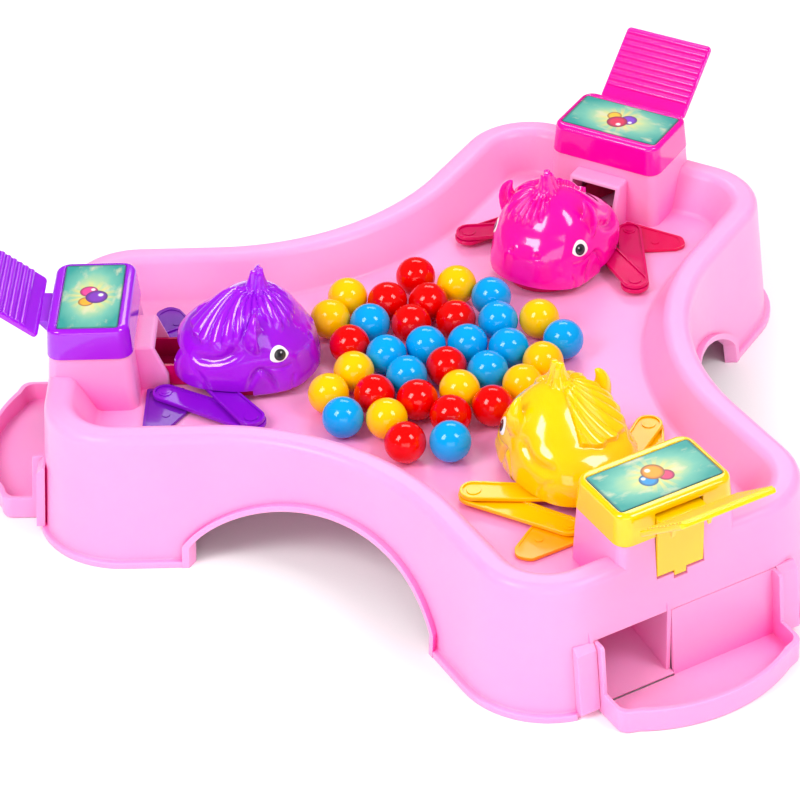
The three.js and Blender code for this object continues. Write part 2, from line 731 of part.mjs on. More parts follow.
function padOutline() {
  const slope = THREE.MathUtils.degToRad(PAD_SLOPE_DEG);
  const along = new THREE.Vector2(Math.cos(slope), Math.sin(slope));
  const normal = new THREE.Vector2(-along.y, along.x);
  const start = new THREE.Vector2(WEB_REACH + PAD_STAND_OFF, PIVOT_RISE + PAD_STAND_OFF);
  const at = (run, rise) => start.clone().addScaledVector(along, run).addScaledVector(normal, rise);
  const points = [at(0, -PAD_THICKNESS), at(PAD_LENGTH, -PAD_THICKNESS), at(PAD_LENGTH, 0)];
  const pitch = PAD_LENGTH / (PAD_RIB_COUNT + 1);
  for (let rib = PAD_RIB_COUNT; rib > 0; rib -= 1) {
    points.push(at(pitch * (rib + 1 / 4), 0), at(pitch * rib, PAD_RIB_HEIGHT), at(pitch * (rib - 1 / 4), 0));
  }
  points.push(at(0, 0));
  return points;
}

function pedalLever() {
  const webOuter = WEB_REACH;
  const webInner = webOuter - WEB_THICKNESS;
  const stemLow = PIVOT_RISE - KNUCKLE_RADIUS + SEAT_GAP;
  const web = [
    new THREE.Vector2(webInner, WEB_FOOT_RISE),
    new THREE.Vector2(webOuter, WEB_FOOT_RISE),
    new THREE.Vector2(webOuter, stemLow),
    new THREE.Vector2(webOuter + PAD_STAND_OFF + WEB_THICKNESS, PIVOT_RISE + PAD_STAND_OFF),
    new THREE.Vector2(webInner, PIVOT_RISE + KNUCKLE_RADIUS / 2),
    new THREE.Vector2(PIVOT_REACH, PIVOT_RISE + KNUCKLE_RADIUS / 2),
    new THREE.Vector2(PIVOT_REACH, stemLow),
    new THREE.Vector2(webInner, stemLow),
  ];
  const tab = block(
    webInner,
    webOuter,
    -WEB_TAB_WIDTH / 2,
    WEB_TAB_WIDTH / 2,
    WEB_FOOT_RISE - WEB_TAB_LENGTH,
    WEB_FOOT_RISE + WEB_TAB_LENGTH,
  );
  const halfWeb = WEB_WIDTH / 2;
  const lever = joined([
    acrossProfile(padOutline(), -PAD_WIDTH / 2, PAD_WIDTH / 2),
    acrossProfile(web, -halfWeb, halfWeb),
    crossRod(KNUCKLE_RADIUS - PIN_GAP, PIVOT_REACH, PIVOT_RISE, -halfWeb, halfWeb),
    tab,
  ]);
  const reach = halfWeb + CUT_OVERRUN;
  return lever.subtract(crossRod(LEVER_PIN_RADIUS + PIN_GAP, PIVOT_REACH, PIVOT_RISE, -reach, reach));
}

function leverPin() {
  const reach = EAR_INNER_SIDE + LEVER_EAR_THICKNESS;
  return crossRod(LEVER_PIN_RADIUS, PIVOT_REACH, PIVOT_RISE, -reach, reach);
}

// Carriage: the lower jaw, the neck trough that slides through the hood, and the tail that the
// lever's web pushes

function ellipseOutline(xCentre, xRadius, yRadius) {
  const curve = new THREE.EllipseCurve(xCentre, 0, xRadius, yRadius);
  return curve.getPoints(HEAD_SEGMENTS).slice(0, HEAD_SEGMENTS);
}

function neckPlan(halfWidth, xLow) {
  return [
    new THREE.Vector2(xLow, -halfWidth),
    new THREE.Vector2(NECK_END_REACH, -halfWidth),
    new THREE.Vector2(NECK_END_REACH, halfWidth),
    new THREE.Vector2(xLow, halfWidth),
  ];
}

const NECK_HALF_WIDTH = NECK_DOOR_WIDTH / 2 - SLIDE_GAP;
const TAIL_REACH = WEB_REACH - WEB_THICKNESS - TAIL_FREE_PLAY;

function jawCarriage() {
  const low = SLIDE_GAP;
  const floorTop = low + SLIDE_THICKNESS;
  const centre = JAW_FRONT_REACH + JAW_LENGTH / 2;
  const innerNeck = NECK_HALF_WIDTH - NECK_WALL;
  const solidBowl = plate(ellipseOutline(centre, JAW_LENGTH / 2, JAW_WIDTH / 2), low, low + JAW_LIP_RISE);
  const aboveSides = [
    new THREE.Vector2(JAW_FRONT_REACH + JAW_LENGTH / 4, low + JAW_LIP_RISE),
    new THREE.Vector2(centre, low + JAW_RISE),
    new THREE.Vector2(NECK_END_REACH, low + JAW_RISE),
    new THREE.Vector2(NECK_END_REACH, NECK_RISE),
    new THREE.Vector2(JAW_FRONT_REACH + JAW_LENGTH / 4, NECK_RISE),
  ];
  const bowl = solidBowl.subtract(acrossProfile(aboveSides, -JAW_WIDTH, JAW_WIDTH));
  const hollow = plate(
    ellipseOutline(centre, JAW_LENGTH / 2 - SLIDE_THICKNESS, JAW_WIDTH / 2 - SLIDE_THICKNESS),
    floorTop,
    NECK_RISE,
  );
  const neck = plate(neckPlan(NECK_HALF_WIDTH, NECK_START_REACH), low, NECK_RISE);
  const jawAndNeck = joined([bowl.subtract(hollow), neck, ...hingeEars(), ...hipLugs()]);
  const channel = block(
    centre,
    NECK_END_REACH + CUT_OVERRUN,
    -innerNeck,
    innerNeck,
    floorTop,
    HINGE_RISE + HINGE_EAR_RADIUS + CUT_OVERRUN,
  );
  const hollowed = jawAndNeck.subtract(channel);
  const bore = crossRod(HINGE_PEG_RADIUS + PIN_GAP, HINGE_REACH, HINGE_RISE, -NECK_DOOR_WIDTH, NECK_DOOR_WIDTH);
  return hollowed.subtract(bore).add(tail(low, innerNeck));
}

function tail(low, innerNeck) {
  const side = block(NECK_END_REACH - NECK_WALL, TAIL_REACH, innerNeck, NECK_HALF_WIDTH, low, NECK_RISE);
  const deflector = plate(deflectorOutline(innerNeck), low, NECK_RISE);
  const push = block(
    TAIL_REACH - TAIL_THICKNESS,
    TAIL_REACH,
    -innerNeck,
    SPRING_SIDE + SPRING_DIAMETER / 2 + SPRING_WIRE,
    low,
    TAIL_RISE,
  );
  return joined([side, deflector, push]);
}

// A slanting wall that turns a ball from the neck towards the ball drop
function deflectorOutline(innerNeck) {
  const end = TAIL_REACH - TAIL_THICKNESS / 2;
  return [
    new THREE.Vector2(NECK_END_REACH - NECK_WALL, innerNeck),
    new THREE.Vector2(end, -innerNeck * DEFLECTOR_END_SHARE),
    new THREE.Vector2(end, NECK_WALL * 2 - innerNeck * DEFLECTOR_END_SHARE),
    new THREE.Vector2(NECK_END_REACH, NECK_HALF_WIDTH),
  ];
}

function hingeEars() {
  const outline = [
    new THREE.Vector2(HINGE_REACH - HINGE_EAR_RADIUS * 2, NECK_RISE - NECK_WALL),
    new THREE.Vector2(HINGE_REACH + HINGE_EAR_RADIUS * 2, NECK_RISE - NECK_WALL),
    ...arcPoints(HINGE_REACH, HINGE_RISE, HINGE_EAR_RADIUS, 0, 180, SMALL_STEPS),
  ];
  return [
    acrossProfile(outline, NECK_HALF_WIDTH - NECK_WALL, NECK_HALF_WIDTH),
    acrossProfile(outline, -NECK_HALF_WIDTH, NECK_WALL - NECK_HALF_WIDTH),
  ];
}

// Legs, in layers above the tray floor

const FOOT_LOW = SEAT_GAP;
const SHIN_LOW = FOOT_LOW + FOOT_THICKNESS + LEG_LAYER_GAP;
const THIGH_LOW = SHIN_LOW + LEG_THICKNESS + LEG_LAYER_GAP;
const HIP_LUG_LOW = THIGH_LOW + LEG_THICKNESS + LEG_LAYER_GAP;
const FOOT_PEG_REACH = (FOOT_BACK_REACH + FOOT_FRONT_REACH) / 2;
const FOOT_PEG_SIDE = (FOOT_PIVOT_SIDE + FOOT_TIP_SIDE) / 2;

// Lugs on the neck that carry the pegs of the hips, long enough to meet the neck wherever the hips are
function hipLugs() {
  const high = HIP_LUG_LOW + LEG_THICKNESS;
  const half = HIP_LUG_RADIUS;
  const xLow = Math.min(HIP_REACH, NECK_START_REACH) - half;
  const xHigh = Math.max(HIP_REACH, NECK_START_REACH) + half;
  return [1, -1].flatMap((side) => {
    const inner = side * (NECK_HALF_WIDTH - NECK_WALL);
    const outer = side * HIP_SIDE;
    const [yLow, yHigh] = [Math.min(inner, outer), Math.max(inner, outer)];
    return [
      block(xLow, xHigh, yLow, yHigh, HIP_LUG_LOW, high),
      post(half, HIP_REACH, outer, HIP_LUG_LOW, high),
      post(HIP_PEG_RADIUS, HIP_REACH, outer, THIGH_LOW, high),
    ];
  });
}

function footOutline() {
  const inner = FOOT_PIVOT_SIDE - SHIN_FOOT_RADIUS;
  const tipRadius = SHIN_FOOT_RADIUS / 2;
  return [
    new THREE.Vector2(FOOT_BACK_REACH, inner),
    ...arcPoints(FOOT_BACK_REACH - tipRadius * 2, FOOT_TIP_SIDE - tipRadius, tipRadius, 20, 160, SMALL_STEPS),
    new THREE.Vector2(FOOT_FRONT_REACH, (FOOT_TIP_SIDE + inner) / 2),
    new THREE.Vector2(FOOT_FRONT_REACH + tipRadius, inner),
  ];
}

function foot(side) {
  const outline = side > 0 ? footOutline() : mirrored(footOutline()).reverse();
  const top = FOOT_LOW + FOOT_THICKNESS;
  const leaf = plate(outline, FOOT_LOW, top);
  const peg = post(LEG_PEG_RADIUS, FOOT_PEG_REACH, side * FOOT_PEG_SIDE, -FLOOR_THICKNESS, top);
  const pivot = post(LEG_PEG_RADIUS + PIN_GAP, FOOT_PIVOT_REACH, side * FOOT_PIVOT_SIDE, -FLOOR_THICKNESS, top);
  return leaf.add(peg).subtract(pivot);
}

// A flat link with rounded ends of different radii and a shallow recess inside its rim
function linkOutline(from, fromRadius, to, toRadius) {
  const heading = THREE.MathUtils.radToDeg(Math.atan2(to.y - from.y, to.x - from.x));
  return [
    ...arcPoints(from.x, from.y, fromRadius, heading + 90, heading + 270, CORNER_STEPS),
    ...arcPoints(to.x, to.y, toRadius, heading - 90, heading + 90, CORNER_STEPS),
  ];
}

function link(from, fromRadius, to, toRadius, low) {
  const high = low + LEG_THICKNESS;
  const body = plate(linkOutline(from, fromRadius, to, toRadius), low, high);
  const recess = plate(
    linkOutline(from, fromRadius - LEG_RIM, to, toRadius - LEG_RIM),
    high - LEG_RECESS,
    high + CUT_OVERRUN,
  );
  return body.subtract(recess);
}

function legPlaces(side) {
  return {
    ankle: new THREE.Vector2(FOOT_PIVOT_REACH, side * FOOT_PIVOT_SIDE),
    knee: new THREE.Vector2(KNEE_REACH, side * KNEE_SIDE),
    hip: new THREE.Vector2(HIP_REACH, side * HIP_SIDE),
  };
}

function shin(side) {
  const { ankle, knee } = legPlaces(side);
  const plateTop = SHIN_LOW + LEG_THICKNESS;
  return joined([
    link(ankle, SHIN_FOOT_RADIUS, knee, SHIN_KNEE_RADIUS, SHIN_LOW),
    post(LEG_PEG_RADIUS, ankle.x, ankle.y, FOOT_LOW, plateTop),
    post(LEG_PEG_RADIUS, knee.x, knee.y, SHIN_LOW, plateTop + LEG_LAYER_GAP + LEG_THICKNESS / 2),
  ]);
}

function thigh(side) {
  const { knee, hip } = legPlaces(side);
  const high = THIGH_LOW + LEG_THICKNESS + CUT_OVERRUN;
  const body = link(knee, THIGH_KNEE_RADIUS, hip, THIGH_HIP_RADIUS, THIGH_LOW);
  const kneeBore = post(LEG_PEG_RADIUS + PIN_GAP, knee.x, knee.y, THIGH_LOW - CUT_OVERRUN, high);
  const hipBore = post(HIP_PEG_RADIUS + PIN_GAP * 4, hip.x, hip.y, THIGH_LOW - CUT_OVERRUN, high);
  return body.subtract(kneeBore.add(hipBore));
}

// Head shell: a hollow dome with horn, ears, eye bumps and mane ridges

function headRing([heightShare, frontShare, backShare, widthShare], inset) {
  const front = SNOUT_REACH + HEAD_LENGTH * frontShare + inset;
  const back = SNOUT_REACH + HEAD_LENGTH * backShare - inset;
  const halfWidth = (HEAD_WIDTH * widthShare) / 2 - inset;
  const z = Math.max(HEAD_FOOT_RISE, HEAD_HEIGHT * heightShare - inset);
  const points = [];
  for (let i = 0; i < HEAD_SEGMENTS; i += 1) {
    const angle = (Math.PI * 2 * i) / HEAD_SEGMENTS;
    const power = 2 / HEAD_SQUARENESS;
    const x = Math.sign(Math.cos(angle)) * Math.abs(Math.cos(angle)) ** power;
    const y = Math.sign(Math.sin(angle)) * Math.abs(Math.sin(angle)) ** power;
    points.push(new THREE.Vector3((front + back) / 2 + ((back - front) / 2) * x, halfWidth * y, z));
  }
  return points;
}

function headDome() {
  const shares = HEAD_RING_SHARES.map((row, level) => (level === 0 ? [HEAD_FOOT_RISE / HEAD_HEIGHT, ...row.slice(1)] : row));
  return throughRings(shares.map((row) => headRing(row, 0)));
}

function headHollow() {
  const rows = HEAD_RING_SHARES.filter((row, level) => level % 2 === 1 && level < HEAD_RING_SHARES.length - 1);
  const foot = headRing(HEAD_RING_SHARES[0], HEAD_WALL);
  foot.forEach((point) => point.setZ(-CUT_OVERRUN));
  return throughRings([foot, ...rows.map((row) => headRing(row, HEAD_WALL))]);
}

function cone(rootRadius, tipRadius, root, tip, sides) {
  const along = tip.clone().sub(root);
  const body = new THREE.CylinderGeometry(tipRadius, rootRadius, along.length(), sides);
  const turn = new THREE.Quaternion().setFromUnitVectors(new THREE.Vector3(0, 1, 0), along.clone().normalize());
  const middle = root.clone().add(tip).multiplyScalar(1 / 2);
  return toSolid(body.applyQuaternion(turn).translate(middle.x, middle.y, middle.z));
}

function horn() {
  const tips = [HORN_TIP_RADIUS, -HORN_TIP_RADIUS];
  return tips.map((side) =>
    cone(
      HORN_RADIUS,
      HORN_TIP_RADIUS,
      new THREE.Vector3(HORN_REACH + HORN_RADIUS / 2, side, HORN_ROOT_RISE),
      new THREE.Vector3(HORN_REACH, side * 2, HORN_RISE),
      SMALL_STEPS * 2,
    ));
}

function ears() {
  return [1, -1].map((side) =>
    cone(
      EAR_RADIUS,
      EAR_RADIUS / 8,
      new THREE.Vector3(EAR_REACH + EAR_RADIUS / 2, side * EAR_ROOT_SIDE, EAR_ROOT_RISE),
      new THREE.Vector3(EAR_REACH, side * EAR_SIDE, EAR_RISE),
      SMALL_STEPS + 2,
    ));
}

function eyeBumps() {
  return [1, -1].map((side) => {
    const bump = new THREE.IcosahedronGeometry(EYE_RADIUS, 1);
    return toSolid(bump.translate(EYE_REACH, side * EYE_SIDE, EYE_RISE));
  });
}

function ridge(shares, side) {
  const places = [shares.from, shares.via, shares.to].map(([lengthShare, widthShare, heightShare]) =>
    new THREE.Vector3(
      SNOUT_REACH + HEAD_LENGTH * lengthShare,
      side * HEAD_WIDTH * widthShare,
      HEAD_HEIGHT * heightShare,
    ));
  const path = new THREE.QuadraticBezierCurve3(...places);
  const section = new THREE.Shape(arcPoints(0, 0, RIDGE_RADIUS, 0, 270, 3));
  const tube = new THREE.ExtrudeGeometry(section, { steps: SMALL_STEPS, extrudePath: path });
  return toSolid(tube);
}

// The mane falls over the head's left side only, as in the photograph
function maneRidges() {
  return RIDGE_SHARES.map((shares) => ridge(shares, 1));
}

// Room under the shell's foot for the thighs, the raised upper lip, and the open back over the neck
function shellCutaways() {
  const lip = [
    new THREE.Vector2(SNOUT_REACH - HEAD_WALL, -CUT_OVERRUN),
    new THREE.Vector2(SNOUT_REACH + LIP_RUN, -CUT_OVERRUN),
    new THREE.Vector2(SNOUT_REACH + LIP_RUN, HEAD_FOOT_RISE),
    new THREE.Vector2(SNOUT_REACH - HEAD_WALL, LIP_RISE),
  ];
  const legTop = THIGH_LOW + LEG_THICKNESS + LEG_LAYER_GAP;
  const back = SNOUT_REACH + HEAD_LENGTH + CUT_OVERRUN;
  const halfNeck = NECK_HALF_WIDTH + SLIDE_GAP;
  const crown = NECK_DOOR_RISE;
  return [
    acrossProfile(lip, -HEAD_WIDTH, HEAD_WIDTH),
    block(KNEE_REACH, back, -HEAD_WIDTH, HEAD_WIDTH, -CUT_OVERRUN, legTop),
    block(HINGE_REACH - HINGE_EAR_RADIUS, back, -halfNeck, halfNeck, -CUT_OVERRUN, crown),
  ];
}

function hingePegs() {
  const outer = HEAD_WIDTH / 2;
  return [1, -1].flatMap((side) => {
    const span = (from, to) => [Math.min(side * from, side * to), Math.max(side * from, side * to)];
    return [
      crossRod(HINGE_EAR_RADIUS, HINGE_REACH, HINGE_RISE, ...span(NECK_HALF_WIDTH + SLIDE_GAP, outer)),
      crossRod(HINGE_PEG_RADIUS, HINGE_REACH, HINGE_RISE, ...span(NECK_HALF_WIDTH - NECK_WALL + SLIDE_GAP, outer)),
    ];
  });
}

function headShell() {
  const outside = joined([headDome(), ...horn(), ...ears(), ...eyeBumps(), ...maneRidges()]);
  const shell = outside.subtract(headHollow());
  const opened = shell.subtract(joined(shellCutaways()));
  return opened.add(joined(hingePegs()).intersect(headDome()));
}

// Return spring between the tower's inner wall and the tail

function returnSpring() {
  const start = TOWER_INNER_REACH + WALL + SEAT_GAP;
  const end = TAIL_REACH - TAIL_THICKNESS - SEAT_GAP;
  const radius = (SPRING_DIAMETER - SPRING_WIRE) / 2;
  const wireEnd = SPRING_WIRE / 2;
  const run = end - start - SPRING_WIRE;
  const points = [];
  const steps = SPRING_CURLS * SPRING_STEPS_PER_CURL;
  for (let i = 0; i <= steps; i += 1) {
    const angle = (Math.PI * 2 * i) / SPRING_STEPS_PER_CURL;
    const x = start + wireEnd + (run * i) / steps;
    points.push(new THREE.Vector3(x, SPRING_SIDE + radius * Math.cos(angle), SPRING_RISE + radius * Math.sin(angle)));
  }
  reportSpringGap(points);
  return throughRings(points.map((point, i) => wireRing(points, i)));
}

function wireRing(points, i) {
  const before = points[Math.max(0, i - 1)];
  const after = points[Math.min(points.length - 1, i + 1)];
  const along = after.clone().sub(before).normalize();
  const away = points[i].clone().setX(0).sub(new THREE.Vector3(0, SPRING_SIDE, SPRING_RISE)).normalize();
  const across = along.clone().cross(away).normalize();
  const out = across.clone().cross(along);
  return Array.from({ length: SPRING_WIRE_SIDES }, (unused, k) => {
    const angle = (Math.PI * 2 * k) / SPRING_WIRE_SIDES;
    const ring = points[i].clone().addScaledVector(out, (SPRING_WIRE / 2) * Math.cos(angle));
    return ring.addScaledVector(across, (SPRING_WIRE / 2) * Math.sin(angle));
  });
}

// Prints the least gap between one curl's wire and the next
function reportSpringGap(points) {
  let least = Infinity;
  for (let i = 0; i < points.length; i += 1) {
    for (let j = i + SPRING_STEPS_PER_CURL / 2 + 1; j < points.length; j += 1) {
      least = Math.min(least, points[i].distanceTo(points[j]) - SPRING_WIRE);
    }
  }
  console.log(`return spring: least gap between curls ${least.toFixed(2)} mm`);
}

// Catch tray: a shallow tray whose back panel fills the window beside the chute

function catchPlan(inset) {
  const left = -WINDOW_LEFT_SIDE + SLIDE_GAP + inset;
  const right = WINDOW_RIGHT_SIDE - SLIDE_GAP - inset;
  const back = wallReach(-FLOOR_HEIGHT) + SLIDE_GAP;
  const sideReach = wallReach(-FLOOR_HEIGHT) + CATCH_DEPTH_AT_SIDE - inset;
  const halfChord = (right - left) / 2 - CATCH_CORNER_RADIUS;
  const bulge = CATCH_BULGE;
  const radius = (halfChord ** 2 + bulge ** 2) / (bulge * 2);
  const turn = THREE.MathUtils.radToDeg(Math.asin(halfChord / radius));
  const centreX = sideReach + bulge - radius;
  const middle = (left + right) / 2;
  return [
    new THREE.Vector2(back, left),
    new THREE.Vector2(sideReach - CATCH_CORNER_RADIUS, left),
    ...arcPoints(centreX, middle, radius, -turn, turn, WAIST_STEPS),
    new THREE.Vector2(sideReach - CATCH_CORNER_RADIUS, right),
    new THREE.Vector2(back, right),
  ];
}

function catchTray() {
  const low = SEAT_GAP - FLOOR_HEIGHT;
  const wallTop = low + CATCH_WALL_HEIGHT;
  const floorTop = low + CATCH_WALL;
  const panelTop = WINDOW_HEIGHT - FLOOR_HEIGHT - SLIDE_GAP;
  const back = wallReach(-FLOOR_HEIGHT) + SLIDE_GAP;
  const outside = plate(catchPlan(0), low, wallTop);
  const inside = plate(catchPlan(CATCH_WALL), floorTop, wallTop + CUT_OVERRUN);
  const openBack = block(
    back - CUT_OVERRUN,
    back + CATCH_WALL + CUT_OVERRUN,
    CATCH_WALL - WINDOW_LEFT_SIDE + SLIDE_GAP,
    WINDOW_RIGHT_SIDE - SLIDE_GAP - CATCH_WALL,
    floorTop,
    wallTop + CUT_OVERRUN,
  );
  const panelLeft = -CHUTE_SIDE + CHUTE_WALL + SLIDE_GAP;
  const right = WINDOW_RIGHT_SIDE - SLIDE_GAP;
  const left = -WINDOW_LEFT_SIDE + SLIDE_GAP;
  const panel = [
    new THREE.Vector2(wallReach(low) - CATCH_WALL, low),
    new THREE.Vector2(back + CATCH_WALL, low),
    new THREE.Vector2(back + CATCH_WALL, floorTop),
    new THREE.Vector2(wallReach(floorTop), floorTop),
    new THREE.Vector2(wallReach(panelTop), panelTop),
    new THREE.Vector2(wallReach(panelTop) - CATCH_WALL, panelTop),
  ];
  const flange = [
    new THREE.Vector2(wallReach(low) - CATCH_WALL, low),
    new THREE.Vector2(wallReach(low) + CATCH_FLANGE_DEPTH, low),
    new THREE.Vector2(wallReach(panelTop) + CATCH_FLANGE_DEPTH, panelTop - CATCH_WALL),
    new THREE.Vector2(wallReach(panelTop) + CATCH_FLANGE_DEPTH - CATCH_WALL, panelTop),
    new THREE.Vector2(wallReach(panelTop) - CATCH_WALL, panelTop),
  ];
  return joined([
    outside.subtract(inside.add(openBack)),
    acrossProfile(panel, panelLeft, right),
    acrossProfile(flange, left, left + CATCH_WALL),
    acrossProfile(flange, right - CATCH_WALL, right),
  ]);
}

// The model

const PINK = { color: 0xffa3dc, roughness: 0.35, metalness: 0 };
const CRIMSON = { color: 0xc4004f, roughness: 0.4, metalness: 0 };
const STEEL = { color: 0xb8bcc2, roughness: 0.3, metalness: 0.9 };
const PRINT = { color: 0x58c9bd, roughness: 0.5, metalness: 0 };

const game = new THREE.Group();

function addMesh(parent, name, solid, look) {
  const mesh = new THREE.Mesh(toGeometry(solid), new THREE.MeshStandardMaterial(look));
  mesh.name = name;
  parent.add(mesh);
}

addMesh(game, 'base_tray', baseTray(), PINK);

STATIONS.forEach(({ colour, angle, hex }) => {
  const station = new THREE.Group();
  station.rotation.z = THREE.MathUtils.degToRad(angle);
  game.add(station);
  const plastic = { color: hex, roughness: 0.3, metalness: 0 };
  addMesh(station, `${colour}_tower_cap`, towerCap(), plastic);
  addMesh(station, `${colour}_picture_plate`, picturePlate(), PRINT);
  addMesh(station, `${colour}_pedal_lever`, pedalLever(), plastic);
  addMesh(station, `${colour}_lever_pin`, leverPin(), STEEL);
  addMesh(station, `${colour}_return_spring`, returnSpring(), STEEL);
  addMesh(station, `${colour}_jaw_carriage`, jawCarriage(), CRIMSON);
  addMesh(station, `${colour}_head_shell`, headShell(), plastic);
  addMesh(station, `${colour}_catch_tray`, catchTray(), PINK);
  [['left', 1], ['right', -1]].forEach(([name, side]) => {
    addMesh(station, `${colour}_${name}_foot`, foot(side), plastic);
    addMesh(station, `${colour}_${name}_shin`, shin(side), plastic);
    addMesh(station, `${colour}_${name}_thigh`, thigh(side), plastic);
  });
});

BALL_PLACE_SHARES.forEach(([colour, xShare, yShare], i) => {
  const ball = new THREE.IcosahedronGeometry(BALL_DIAMETER / 2, 2);
  const look = { color: BALL_HEX[colour], roughness: 0.15, metalness: 0 };
  const mesh = new THREE.Mesh(ball, new THREE.MeshStandardMaterial(look));
  mesh.name = `play_ball_${String(i + 1).padStart(2, '0')}_${colour}`;
  mesh.position.set(BALL_DIAMETER * xShare, BALL_DIAMETER * yShare, SEAT_GAP + BALL_DIAMETER / 2);
  game.add(mesh);
});

export default game;
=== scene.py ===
import json
import math
from contextlib import contextmanager

import bmesh
import bpy
import numpy as np
from mathutils import Matrix, Vector
from mathutils.bvhtree import BVHTree

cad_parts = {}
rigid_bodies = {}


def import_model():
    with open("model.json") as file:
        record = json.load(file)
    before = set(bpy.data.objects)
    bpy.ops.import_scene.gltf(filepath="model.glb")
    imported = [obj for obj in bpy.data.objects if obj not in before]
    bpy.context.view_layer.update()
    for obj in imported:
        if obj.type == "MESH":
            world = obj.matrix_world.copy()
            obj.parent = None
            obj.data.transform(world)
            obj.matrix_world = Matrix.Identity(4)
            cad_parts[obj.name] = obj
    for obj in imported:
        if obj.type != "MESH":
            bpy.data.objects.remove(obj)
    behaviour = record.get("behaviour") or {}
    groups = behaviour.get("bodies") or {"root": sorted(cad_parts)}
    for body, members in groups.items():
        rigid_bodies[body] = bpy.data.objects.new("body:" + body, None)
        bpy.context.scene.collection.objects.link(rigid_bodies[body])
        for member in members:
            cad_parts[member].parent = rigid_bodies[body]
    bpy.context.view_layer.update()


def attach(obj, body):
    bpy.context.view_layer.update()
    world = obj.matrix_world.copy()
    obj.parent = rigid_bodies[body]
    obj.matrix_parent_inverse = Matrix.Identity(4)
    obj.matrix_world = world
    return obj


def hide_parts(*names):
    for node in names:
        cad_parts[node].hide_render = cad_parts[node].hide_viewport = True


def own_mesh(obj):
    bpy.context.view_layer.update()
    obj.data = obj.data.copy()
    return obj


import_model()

# Looks of the ball chomping game: a pink tray with three towers, each with a cap, a pedal lever, a
# horned head on folding legs and a catch tray, and the balls between them.
# Forms are drawn in millimetres. A station's forms are drawn in its own frame, x outwards along its
# lobe and y sideways, and are turned to their place when they are finished.

MM = 0.001
THIRD_TURN = 120
STATIONS = {"purple": 180, "magenta": 60, "yellow": -60}

# The camera, at the photograph's place
CAMERA_PLACE = (0.013278, -1.227861, 0.876061)
CAMERA_YAW = 0.033855
CAMERA_RISE = 0.630577
CAMERA_ROLL = -0.043522
CAMERA_LENS = 138.519

# Gaps, the same as between the solids
SEAT_GAP = 0.3
SLIDE_GAP = 0.4
PIN_GAP = 0.3
OVERRUN = 1.0

# Tray
LOBE_REACH = 196.0
LOBE_HALF_WIDTH = 82.5
LOBE_CORNER_RADIUS = 36.0
WAIST_REACH = 114.5
WAIST_TURN = math.pi / 3
WAIST_RADIUS = (WAIST_REACH * math.sin(WAIST_TURN) - LOBE_HALF_WIDTH) / (1 - math.sin(WAIST_TURN))
FLOOR_HEIGHT = 50.0
FLOOR_THICKNESS = 2.4
RIM_RISE = 20.0
RIM_SHOULDER = 16.5
RING_WIDTH = 30.0
RIM_EDGE_INSET = 0.3
RIM_TOP_INSET = 12.3
RIM_FOOT_INSET = 23.1
RIM_EDGE_RADIUS = 4.5
RIM_TOP_RADIUS = 6.0
RIM_FOOT_RADIUS = 3.5
UNDER_EDGE_INSET = 2.7
UNDER_TOP_INSET = 8.9
UNDER_FOOT_INSET = 20.6
UNDER_EDGE_RADIUS = 2.6
UNDER_TOP_RADIUS = 3.0
UNDER_FOOT_RADIUS = 1.5
LIP_EDGE_RADIUS = 0.8
WALL = 2.4
DRAFT_RUN = 6.3
LIP_HEIGHT = 3.2
LIP_WIDTH = 3.0
ARCH_HALF_WIDTH = 69.0
ARCH_HEIGHT = 37.3
ARCH_STEP_HEIGHT = 11.0

# Tower and hood
TOWER_INNER_REACH = 155.0
TOWER_HALF_WIDTH = 30.2
TOWER_RISE = 29.5
TOWER_SPREAD = 1.4
TOWER_EDGE_RADIUS = 5.0
NECK_DOOR_HALF_WIDTH = 12.5
NECK_DOOR_RISE = 22.6
HOOD_REACH = 139.6
HOOD_TOP_RISE = 24.6
HOOD_WALL = 2.0
HOOD_ROOF_RUN = 9.5
HOOD_CHEEK_RISE = 8.0
HOOD_FOOT_RISE = 0.1

# Window, chute and guides
WINDOW_TOP = -12.0
WINDOW_LEFT_SIDE = 47.0
WINDOW_RIGHT_SIDE = 51.0
CHUTE_SIDE = 8.0
CHUTE_WALL = 2.0
CHUTE_MOUTH_RISE = -46.0
CHUTE_DROP = 7.0
CHUTE_SIDE_SHARE = 0.8
DROP_SIDE = 7.0
GUIDE_WIDTH = 10.0
GUIDE_PROUD = 3.0

# Catch tray
CATCH_DEPTH_AT_SIDE = 22.0
CATCH_BULGE = 11.0
CATCH_CORNER_RADIUS = 8.0
CATCH_CORNER_ROUND = CATCH_CORNER_RADIUS * 0.8
CATCH_WALL_HEIGHT = 12.0
CATCH_WALL = 2.0
CATCH_FLANGE_DEPTH = 6.0
CATCH_LEFT = SLIDE_GAP - WINDOW_LEFT_SIDE
CATCH_RIGHT = WINDOW_RIGHT_SIDE - SLIDE_GAP

# Cap and picture
CAP_FOOT = TOWER_RISE + SEAT_GAP
CAP_RISE = 16.0
CAP_TOP = CAP_FOOT + CAP_RISE
CAP_WALL = 1.8
CAP_SPREAD = 0.9
CAP_TAPER = 1.2
CAP_ROUND = 2.4
CAP_EDGE_RADIUS = 7.0
CAP_FINE_ROUND = 0.5
PICTURE_LENGTH = 54.0
PICTURE_WIDTH = 29.0
PICTURE_RECESS = 1.0
PICTURE_THICKNESS = 0.5
PICTURE_CORNER_RADIUS = 1.6
RECESS_CORNER_RADIUS = 2.0

